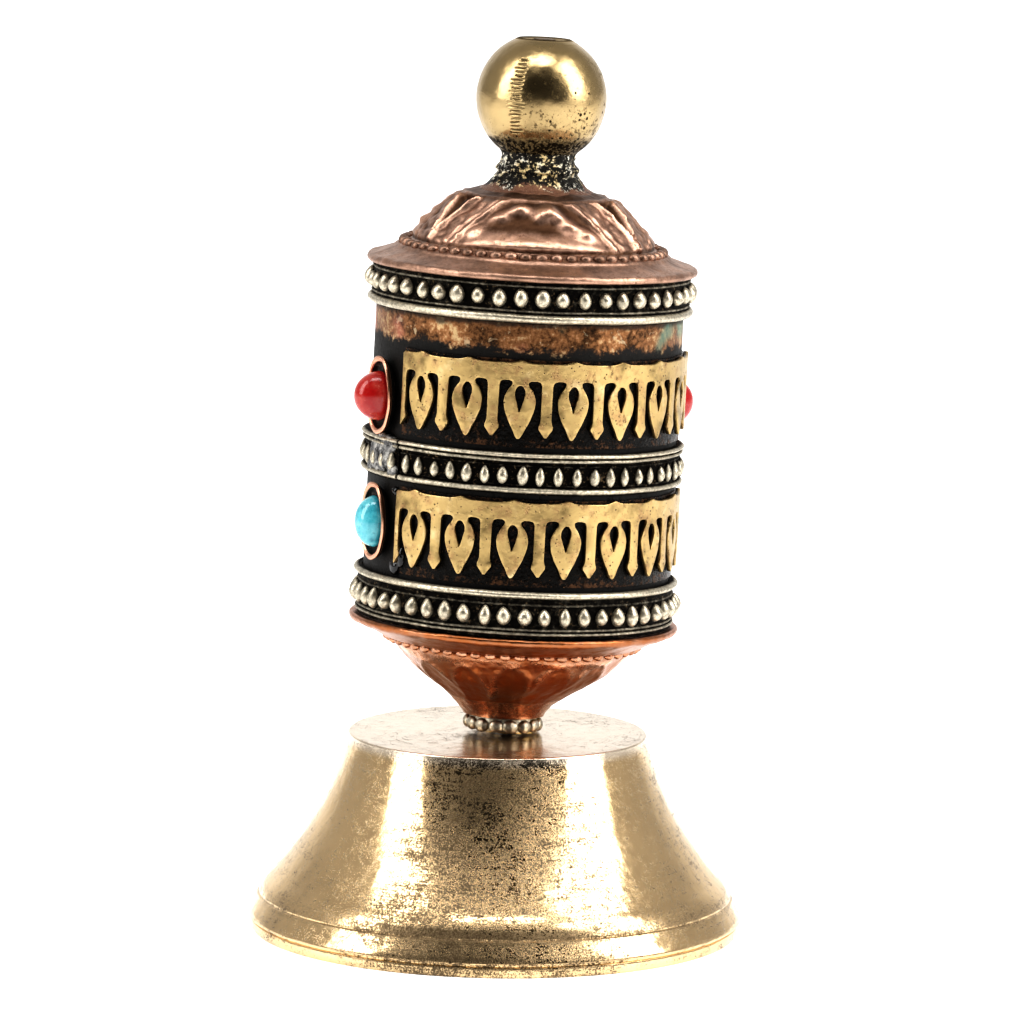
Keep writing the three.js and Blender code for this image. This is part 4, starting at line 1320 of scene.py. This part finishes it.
class WHEEL_OT_friezes(WheelOperator, bpy.types.Operator):
    """Saws the friezes out of brass sheet and bends them round the drum."""

    bl_idname = "wheel.friezes"
    bl_label = "Friezes"

    def make(self, context):
        brass = frieze_brass()
        for row in ("lower", "upper"):
            for side in ("front", "back"):
                self.frieze(f"{row}_frieze_{side}", brass, context.scene.wheel_sizes)

    def frieze(self, node, brass, s):
        r = reach(node)
        around = r.outer
        width = (r.end - r.start) * around
        cells = max(2, round((r.end - r.start) / CELL_ANGLE))
        edge, eyes = frieze_outline(width, r.high - r.low, 1.8, cells)
        thick = r.outer - r.inner
        flat = self.sawn(node, [edge, *eyes], thick, s.frieze_edge)
        work = bmesh.new()
        work.from_mesh(flat)
        for axis, span in ((0, width), (1, r.high - r.low + 1)):
            for i in range(1, int(span / 0.7)):
                point = Vector((0, 0, 0))
                point[axis] = i * 0.7
                way = Vector((0, 0, 0))
                way[axis] = 1
                everything = [*work.verts, *work.edges, *work.faces]
                bmesh.ops.bisect_plane(work, geom=everything, plane_co=point, plane_no=way, dist=1e-4)
        layer = work.verts.layers.float.new("edge")
        for vertex in work.verts:
            x, y, z = vertex.co
            vertex[layer] = 1.0 if z < thick - 0.1 else 0.0
            angle = r.start + x / around
            dent = 0.05 * wobble(x, y, 0, 0.35, r.low) + 0.02 * wobble(x, y, 0, 1.2, r.low)
            radius = r.inner + z + dent + 0.02
            level = r.low + y + 0.05 * wobble(x, 0, 0, 0.3, r.high)
            vertex.co = (radius * math.sin(angle), -radius * math.cos(angle), level)
        bmesh.ops.recalc_face_normals(work, faces=work.faces)
        work.to_mesh(flat)
        work.free()
        flat.shade_smooth()
        flat.set_sharp_from_angle(angle=math.radians(40))
        add_piece(f"{node}_sawn", flat, "drum", brass, replaces=[node])

    def sawn(self, node, outlines, thick, edge):
        """A flat sheet with sawn outlines and softened edges, lying on Z = 0."""
        curve = bpy.data.curves.new(node, "CURVE")
        curve.dimensions, curve.fill_mode = "2D", "BOTH"
        curve.extrude = thick / 2 - edge
        curve.bevel_depth, curve.bevel_resolution = edge, 1
        curve.offset = -edge
        for number, outline in enumerate(outlines):
            points = round_off(outline, 0.22 if number == 0 else 0.3)
            spline = curve.splines.new("POLY")
            spline.points.add(len(points) - 1)
            spline.use_cyclic_u = True
            for point, (x, y) in zip(spline.points, points):
                point.co = (x + 0.05 * wobble(x, y, 0, 0.9, 3), y + 0.04 * wobble(x, y, 5, 0.9, 8), 0, 1)
        drawing = bpy.data.objects.new(node, curve)
        bpy.context.scene.collection.objects.link(drawing)
        graph = bpy.context.evaluated_depsgraph_get()
        mesh = bpy.data.meshes.new_from_object(drawing.evaluated_get(graph), depsgraph=graph)
        bpy.data.objects.remove(drawing)
        bpy.data.curves.remove(curve)
        mesh.transform(Matrix.Translation((0, 0, thick / 2)))
        work = bmesh.new()
        work.from_mesh(mesh)
        bmesh.ops.remove_doubles(work, verts=work.verts, dist=1e-4)
        work.to_mesh(mesh)
        work.free()
        return mesh


# ---------------------------------------------------------------- operators: stones


def facing(node):
    """The place of a stone's seat: local X runs round the drum, Y up and Z out."""
    low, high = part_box(node)
    middle = ON_SPINDLE.inverted() @ ((low + high) / 2) / MM
    angle = math.atan2(middle.x, -middle.y)
    out = Vector((math.sin(angle), -math.cos(angle), 0))
    round_way = Vector((math.cos(angle), math.sin(angle), 0))
    seat = reach(node).inner
    turn = Matrix((round_way, Vector((0, 0, 1)), out)).transposed().to_4x4()
    return Matrix.Translation(out * seat + Vector((0, 0, middle.z))) @ turn


class WHEEL_OT_stones(WheelOperator, bpy.types.Operator):
    """Bends the oval copper cups and sets the coral and turquoise in them."""

    bl_idname = "wheel.stones"
    bl_label = "Stones"

    def make(self, context):
        copper, red, blue = collet_copper(), coral(), turquoise()
        for side, tilt in (("left", 0.05), ("right", -0.04)):
            for row, stone, finish, tall, wide, rise in (
                ("lower", "turquoise", blue, 2.7, 1.98, 2.25),
                ("upper", "coral", red, 2.6, 2.1, 3.05),
            ):
                cup = self.cup(f"{row}_collet_{side}")
                place = facing(f"{row}_collet_{side}") @ Matrix.Rotation(tilt, 4, "Z")
                mesh = cup
                mesh.transform(place)
                add_piece(f"{row}_collet_{side}_bent", mesh, "drum", copper,
                          replaces=[f"{row}_collet_{side}"])
                gem = self.gem(f"{stone}_{side}_cut", tall, wide, rise)
                gem.transform(facing(f"{stone}_{side}") @ Matrix.Rotation(tilt, 4, "Z"))
                add_piece(f"{stone}_{side}_cut", gem, "drum", finish, replaces=[f"{stone}_{side}"])

    def cup(self, node):
        line = [
            [0, 0.0], [0.70, 0.0], [0.86, 0.10], [0.95, 0.40], [1.00, 0.72], [1.03, 0.88], [1.03, 1.0],
            [0.995, 1.08], [0.935, 1.08], [0.895, 0.98], [0.875, 0.78], [0.85, 0.50], [0.79, 0.34],
            [0.70, 0.30], [0, 0.30],
        ]

        def bent(index, radius, level, angle):
            lump = 1 + 0.04 * wobble(math.sin(angle) * 2, math.cos(angle) * 2, level, 1.0, len(node))
            rim = 1.0 if 4 <= index <= 9 else 0.0
            sway = 0.10 * wobble(math.sin(angle) * 2, math.cos(angle), 0, 1.0, 4) * rim
            return radius * lump, level + sway, {"relief": rim}

        mesh = turned(f"{node}_bent", line, 96, bent, sharp=50)
        mesh.transform(Matrix.Diagonal((2.6, 4.0, 1.0, 1.0)))
        return mesh

    def gem(self, name, tall, wide, rise):
        steps = 24
        dome = [[0, 0], [0.93, 0.0], [0.985, 0.05]]
        dome += [
            [math.cos(a) ** 0.92, math.sin(a)] for a in (math.pi / 2 * i / steps for i in range(2, steps))
        ]
        dome += [[0, 1.0]]

        def rubbed(index, radius, level, angle):
            lump = 1 + 0.02 * wobble(math.sin(angle) * 2, math.cos(angle) * 2, level * 2, 0.8, len(name))
            return radius * lump, level, {}

        mesh = turned(name, dome, 72, rubbed, sharp=50)
        mesh.transform(Matrix.Diagonal((wide, tall, rise, 1.0)))
        return mesh


def lump(name, blobs, voxel, rough, seed):
    """One melted lump of several balls: each is an angle, level, height, and three half sizes."""
    work = bmesh.new()
    for angle, level, radius, around, up, out in blobs:
        place = Matrix.Rotation(angle, 4, "Z") @ Matrix.Translation((0, -radius, level))
        bmesh.ops.create_icosphere(
            work, subdivisions=3, radius=1.0, matrix=place @ Matrix.Diagonal((around, out, up, 1.0))
        )
    mesh = bpy.data.meshes.new(name)
    work.to_mesh(mesh)
    work.free()
    item = bpy.data.objects.new(name, mesh)
    bpy.context.scene.collection.objects.link(item)
    remesh = item.modifiers.new("melt", "REMESH")
    remesh.mode, remesh.voxel_size = "VOXEL", voxel
    soften = item.modifiers.new("soften", "SMOOTH")
    soften.iterations = 4
    melted = plain_copy(item, name)
    for vertex in melted.vertices:
        p = vertex.co
        vertex.co = p + vertex.normal * rough * (wobble(*p, 1.2, seed) + 0.5 * wobble(*p, 3.0, seed))
    melted.shade_smooth()
    return melted


class WHEEL_OT_joints(WheelOperator, bpy.types.Operator):
    """Melts the solder over the bands' joints and drops the pitch beside the stones."""

    bl_idname = "wheel.joints"
    bl_label = "Solder and pitch"

    def make(self, context):
        grey, black = solder(), glossy_pitch()
        for side, number in (("left", 1), ("right", 2)):
            middle = reach(f"lower_collet_{side}").facing
            level = reach("middle_band").low
            blobs = [
                (middle - 0.02, level + 2.2, 16.3, 2.4, 2.1, 0.55),
                (middle + 0.12, level + 3.6, 16.3, 1.3, 1.0, 0.60),
                (middle - 0.12, level + 1.1, 16.3, 1.5, 0.9, 0.55),
                (middle + 0.16, level + 0.9, 16.3, 1.0, 0.8, 0.60),
                (middle + 0.02, level + 4.3, 16.3, 0.9, 0.6, 0.50),
            ]
            mesh = lump(f"solder_{side}", blobs, 0.16, 0.13, number)
            add_piece(f"solder_{side}", mesh, "drum", grey)
            low = reach("lower_backing_front").low
            drops = [
                (middle + 0.22, low + 0.7, 16.25, 0.75, 1.0, 0.45),
                (middle + 0.28, low + 1.7, 16.25, 0.55, 1.1, 0.38),
                (middle + 0.19, low + 8.4, 16.25, 0.6, 0.5, 0.38),
            ]
            mesh = lump(f"pitch_drops_{side}", drops, 0.10, 0.05, number + 4)
            add_piece(f"pitch_drops_{side}", mesh, "drum", black)


# ---------------------------------------------------------------- operators: finial


class WHEEL_OT_finial(WheelOperator, bpy.types.Operator):
    """Casts the rough collar and turns the ball above it."""

    bl_idname = "wheel.finial"
    bl_label = "Finial"

    def make(self, context):
        self.collar()
        self.ball()

    def collar(self):
        r = reach("finial_collar")
        low, high = r.low, r.high
        line = smooth_line(
            [
                [6.7, low - 0.75], [6.0, low - 0.22], [5.35, low + 0.16], [4.85, low + 0.65],
                [4.4, low + 1.2], [4.1, low + 1.6], [4.3, low + 2.0], [4.0, low + 2.4],
                [3.8, low + 2.8], [3.85, high - 0.25], [4.0, high],
            ],
            4,
        )
        outline = [[2.6, low - 0.1], [6.0, low - 0.8], *line, [1.25, high], [1.25, high - 0.6],
            [2.6, high - 0.6]]

        def rough(index, radius, level, angle):
            if not 2 <= index <= len(line) + 1:
                return radius, level, {"relief": 0.0}
            x, y = radius * math.sin(angle), radius * math.cos(angle)
            grain = wobble(x, y, level, 1.3, 3) + 0.8 * wobble(x, y, level, 3.2, 7)
            ease = min(1.0, max(0.0, (level - low) / 0.8))
            return radius + 0.17 * grain * ease, level, {"relief": grain}

        mesh = turned("finial_collar_cast", outline, 300, rough, sharp=80)
        add_piece(
            "finial_collar_cast", mesh, "drum", rough_casting(), replaces=["finial_collar"]
        )

    def ball(self):
        r = reach("finial_ball")
        size = r.outer
        flat = 2.7
        centre = r.low + size * math.sin(math.acos(4.05 / size))
        low_angle = math.acos(3.7 / size)
        high_angle = math.acos(flat / size)
        steps = 210
        sides = [
            -low_angle + (low_angle + high_angle) * i / steps
            for i in range(steps + 1)
        ]
        outline = [[1.25, centre - size * math.sin(low_angle)]]
        outline += [[size * math.cos(a), centre + size * math.sin(a)] for a in sides]
        top = outline[-1][1]
        outline += [[flat - 0.3, top - 0.04], [flat - 0.6, top - 0.22], [1.5, top - 0.34], [1.25, top - 0.42]]

        def nicked(index, radius, level, angle):
            if not 1 <= index <= steps + 1:
                return radius, level, {"nicks": 0.0}
            turn = (angle + 0.40 + math.pi) % math.tau - math.pi
            up = level - centre
            mark = 0.0
            if -3.4 < up < 4.4:
                beat = (up + 0.10 * wobble(turn * 5, up, 0, 1.0)) / 0.40
                row = math.floor(beat)
                reach_out = 0.10 + 0.11 * wobble(row * 1.7, 3.1, 0, 1.0)
                shift = 0.05 * wobble(row * 2.3, 9.1, 0, 1.0) + up * 0.004
                within = max(0.0, 1.0 - (abs(turn - shift) / max(0.03, reach_out)) ** 4)
                stroke = max(0.0, 1.0 - abs((beat - row) - 0.5) / 0.28)
                mark = within * stroke * min(1.0, max(0.0, 0.9 + 0.9 * wobble(row * 3.1, 5.5, 0, 1.0)))
            x, y = radius * math.sin(angle), radius * math.cos(angle)
            dent = 0.05 * wobble(x, y, level, 0.35, 2) + 0.015 * wobble(x, y, level, 1.3, 4)
            cut = -0.14 * mark + (dent if up < size - 1.0 else 0)
            return radius + cut * radius / size, level + cut * up / size, {"nicks": mark}

        mesh = turned("finial_ball_turned", outline, 360, nicked, sharp=40)
        add_piece("finial_ball_turned", mesh, "drum", ball_brass(), replaces=["finial_ball"])


# ---------------------------------------------------------------- operators: stage


# Name, degrees round from the front, degrees up, distance, width, height, power; in metres and watts.
SOFTBOXES = (
    ("left_softbox", -70, 34, 0.52, 0.22, 0.56, 1.7),
    ("right_softbox", 70, 34, 0.52, 0.30, 0.56, 2.6),
    ("top_light", 0, 78, 0.55, 0.30, 0.14, 0.80),
)
# Steps in the brightness of the surroundings from front to back: where each starts and ends, and its levels.
SIDES = (-0.60, 0.20, 0.015, 0.42)
BEHIND = (0.60, 0.95, 0.0, 0.48)
LIGHT_AIM = 0.045  # height that the lights point at
FLOOR_HALF = 3.0  # half the width of the floor
LENS, SENSOR = 271.5, 36.0
TILT, ROLL = 8.8, 1.0  # degrees that the camera looks down and leans
TARGET = (1.108, 0, 44.35)  # the point it looks at, and its distance, in millimetres
DISTANCE = 807.7


class WHEEL_OT_stage(WheelOperator, bpy.types.Operator):
    """Sets the floor, the studio lights and the camera."""

    bl_idname = "wheel.stage"
    bl_label = "Stage"

    def make(self, context):
        self.floor(context)
        self.surroundings(context)
        for light in SOFTBOXES:
            self.softbox(*light)
        self.camera(context)
        context.scene.view_settings.view_transform = "Standard"
        context.scene.view_settings.look = "High Contrast"

    def floor(self, context):
        mesh = bpy.data.meshes.new("floor")
        half = FLOOR_HALF
        corners = [(-half, -half, 0), (half, -half, 0), (half, half, 0), (-half, half, 0)]
        mesh.from_pydata(corners, [], [(0, 1, 2, 3)])
        floor = bpy.data.objects.new("floor", mesh)
        context.scene.collection.objects.link(floor)
        f = Finish("pale_floor", on_spindle=False)
        grain = f.noise(0.02, 2, 0.5, 1.0)
        base = f.tint(grain, (0.74, 0.74, 0.74), (0.78, 0.78, 0.78))
        mesh.materials.append(
            f.done(Base_Color=base, Roughness=0.7, Emission_Color=(1.0, 1.0, 1.0), Emission_Strength=0.62)
        )

    def surroundings(self, context):
        """White to the eye; to the metal, bright behind and dark in front."""
        world = bpy.data.worlds.new("studio")
        context.scene.world = world
        world.use_nodes = True
        world.node_tree.nodes.clear()
        n = Nodes(world.node_tree)
        way = n.node("ShaderNodeTexCoord").outputs["Generated"]
        _, y, _ = n.parts(way)
        sides, behind = [
            n.node("ShaderNodeMapRange", {"interpolation_type": "SMOOTHSTEP"}, dict(enumerate((y, *step))))
            for step in (SIDES, BEHIND)
        ]
        seen = n.node("ShaderNodeLightPath").outputs["Is Camera Ray"]
        level = (Amount(n, sides.outputs[0]) + Amount(n, behind.outputs[0])).most(Amount(n, seen) * 1.0)
        light = n.node("ShaderNodeBackground", {}, {"Color": (1, 1, 1, 1), "Strength": level})
        n.node("ShaderNodeOutputWorld", {}, {"Surface": light.outputs[0]})

    def softbox(self, name, azimuth, elevation, distance, width, height, power):
        data = bpy.data.lights.new(name, "AREA")
        data.shape, data.size, data.size_y, data.energy = "RECTANGLE", width, height, power
        light = bpy.data.objects.new(name, data)
        a, e = math.radians(azimuth), math.radians(elevation)
        back = Vector((math.sin(a) * math.cos(e), -math.cos(a) * math.cos(e), math.sin(e)))
        light.location = Vector((0, 0, LIGHT_AIM)) + back * distance
        light.rotation_mode = "QUATERNION"
        light.rotation_quaternion = back.to_track_quat("Z", "Y")
        bpy.context.scene.collection.objects.link(light)

    def camera(self, context):
        data = bpy.data.cameras.new("camera")
        data.lens, data.sensor_width = LENS, SENSOR
        camera = bpy.data.objects.new("camera", data)
        tilt, roll = math.radians(TILT), math.radians(ROLL)
        back = Vector((0, -math.cos(tilt), math.sin(tilt)))
        level_right, level_up = Vector((1, 0, 0)), Vector((0, math.sin(tilt), math.cos(tilt)))
        right = level_right * math.cos(roll) + level_up * math.sin(roll)
        up = level_up * math.cos(roll) - level_right * math.sin(roll)
        place = Matrix((right, up, back)).transposed().to_4x4()
        place.translation = Vector(TARGET) * MM + back * DISTANCE * MM
        camera.matrix_world = place
        data.clip_start, data.clip_end = 0.05, 20.0
        context.scene.collection.objects.link(camera)
        context.scene.camera = camera


# ---------------------------------------------------------------- panel and registration

STEPS = (
    WHEEL_OT_stage,
    WHEEL_OT_stand,
    WHEEL_OT_running_gear,
    WHEEL_OT_lids,
    WHEEL_OT_shell,
    WHEEL_OT_bands,
    WHEEL_OT_backings,
    WHEEL_OT_friezes,
    WHEEL_OT_stones,
    WHEEL_OT_joints,
    WHEEL_OT_finial,
)


class WHEEL_PT_panel(bpy.types.Panel):
    """Lists the prayer wheel's sizes, colours and pieces."""

    bl_label = "Prayer wheel"
    bl_idname = "WHEEL_PT_panel"
    bl_space_type = "VIEW_3D"
    bl_region_type = "UI"
    bl_category = "Prayer wheel"

    def draw(self, context):
        for step in STEPS:
            self.layout.operator(step.bl_idname)
        for group in (context.scene.wheel_sizes, context.scene.wheel_colours):
            box = self.layout.box()
            for name in group.__annotations__:
                box.prop(group, name)


CLASSES = (WheelSizes, WheelColours, *STEPS, WHEEL_PT_panel)


def register():
    for item in CLASSES:
        bpy.utils.register_class(item)
    bpy.types.Scene.wheel_sizes = PointerProperty(type=WheelSizes)
    bpy.types.Scene.wheel_colours = PointerProperty(type=WheelColours)


def unregister():
    del bpy.types.Scene.wheel_colours
    del bpy.types.Scene.wheel_sizes
    for item in reversed(CLASSES):
        bpy.utils.unregister_class(item)


def main():
    """Builds the wheel and its stage."""
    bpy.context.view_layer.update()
    register()
    for step in STEPS:
        group, name = step.bl_idname.split(".")
        getattr(getattr(bpy.ops, group), name)()
    bpy.context.view_layer.update()


if __name__ == "__main__":
    main()
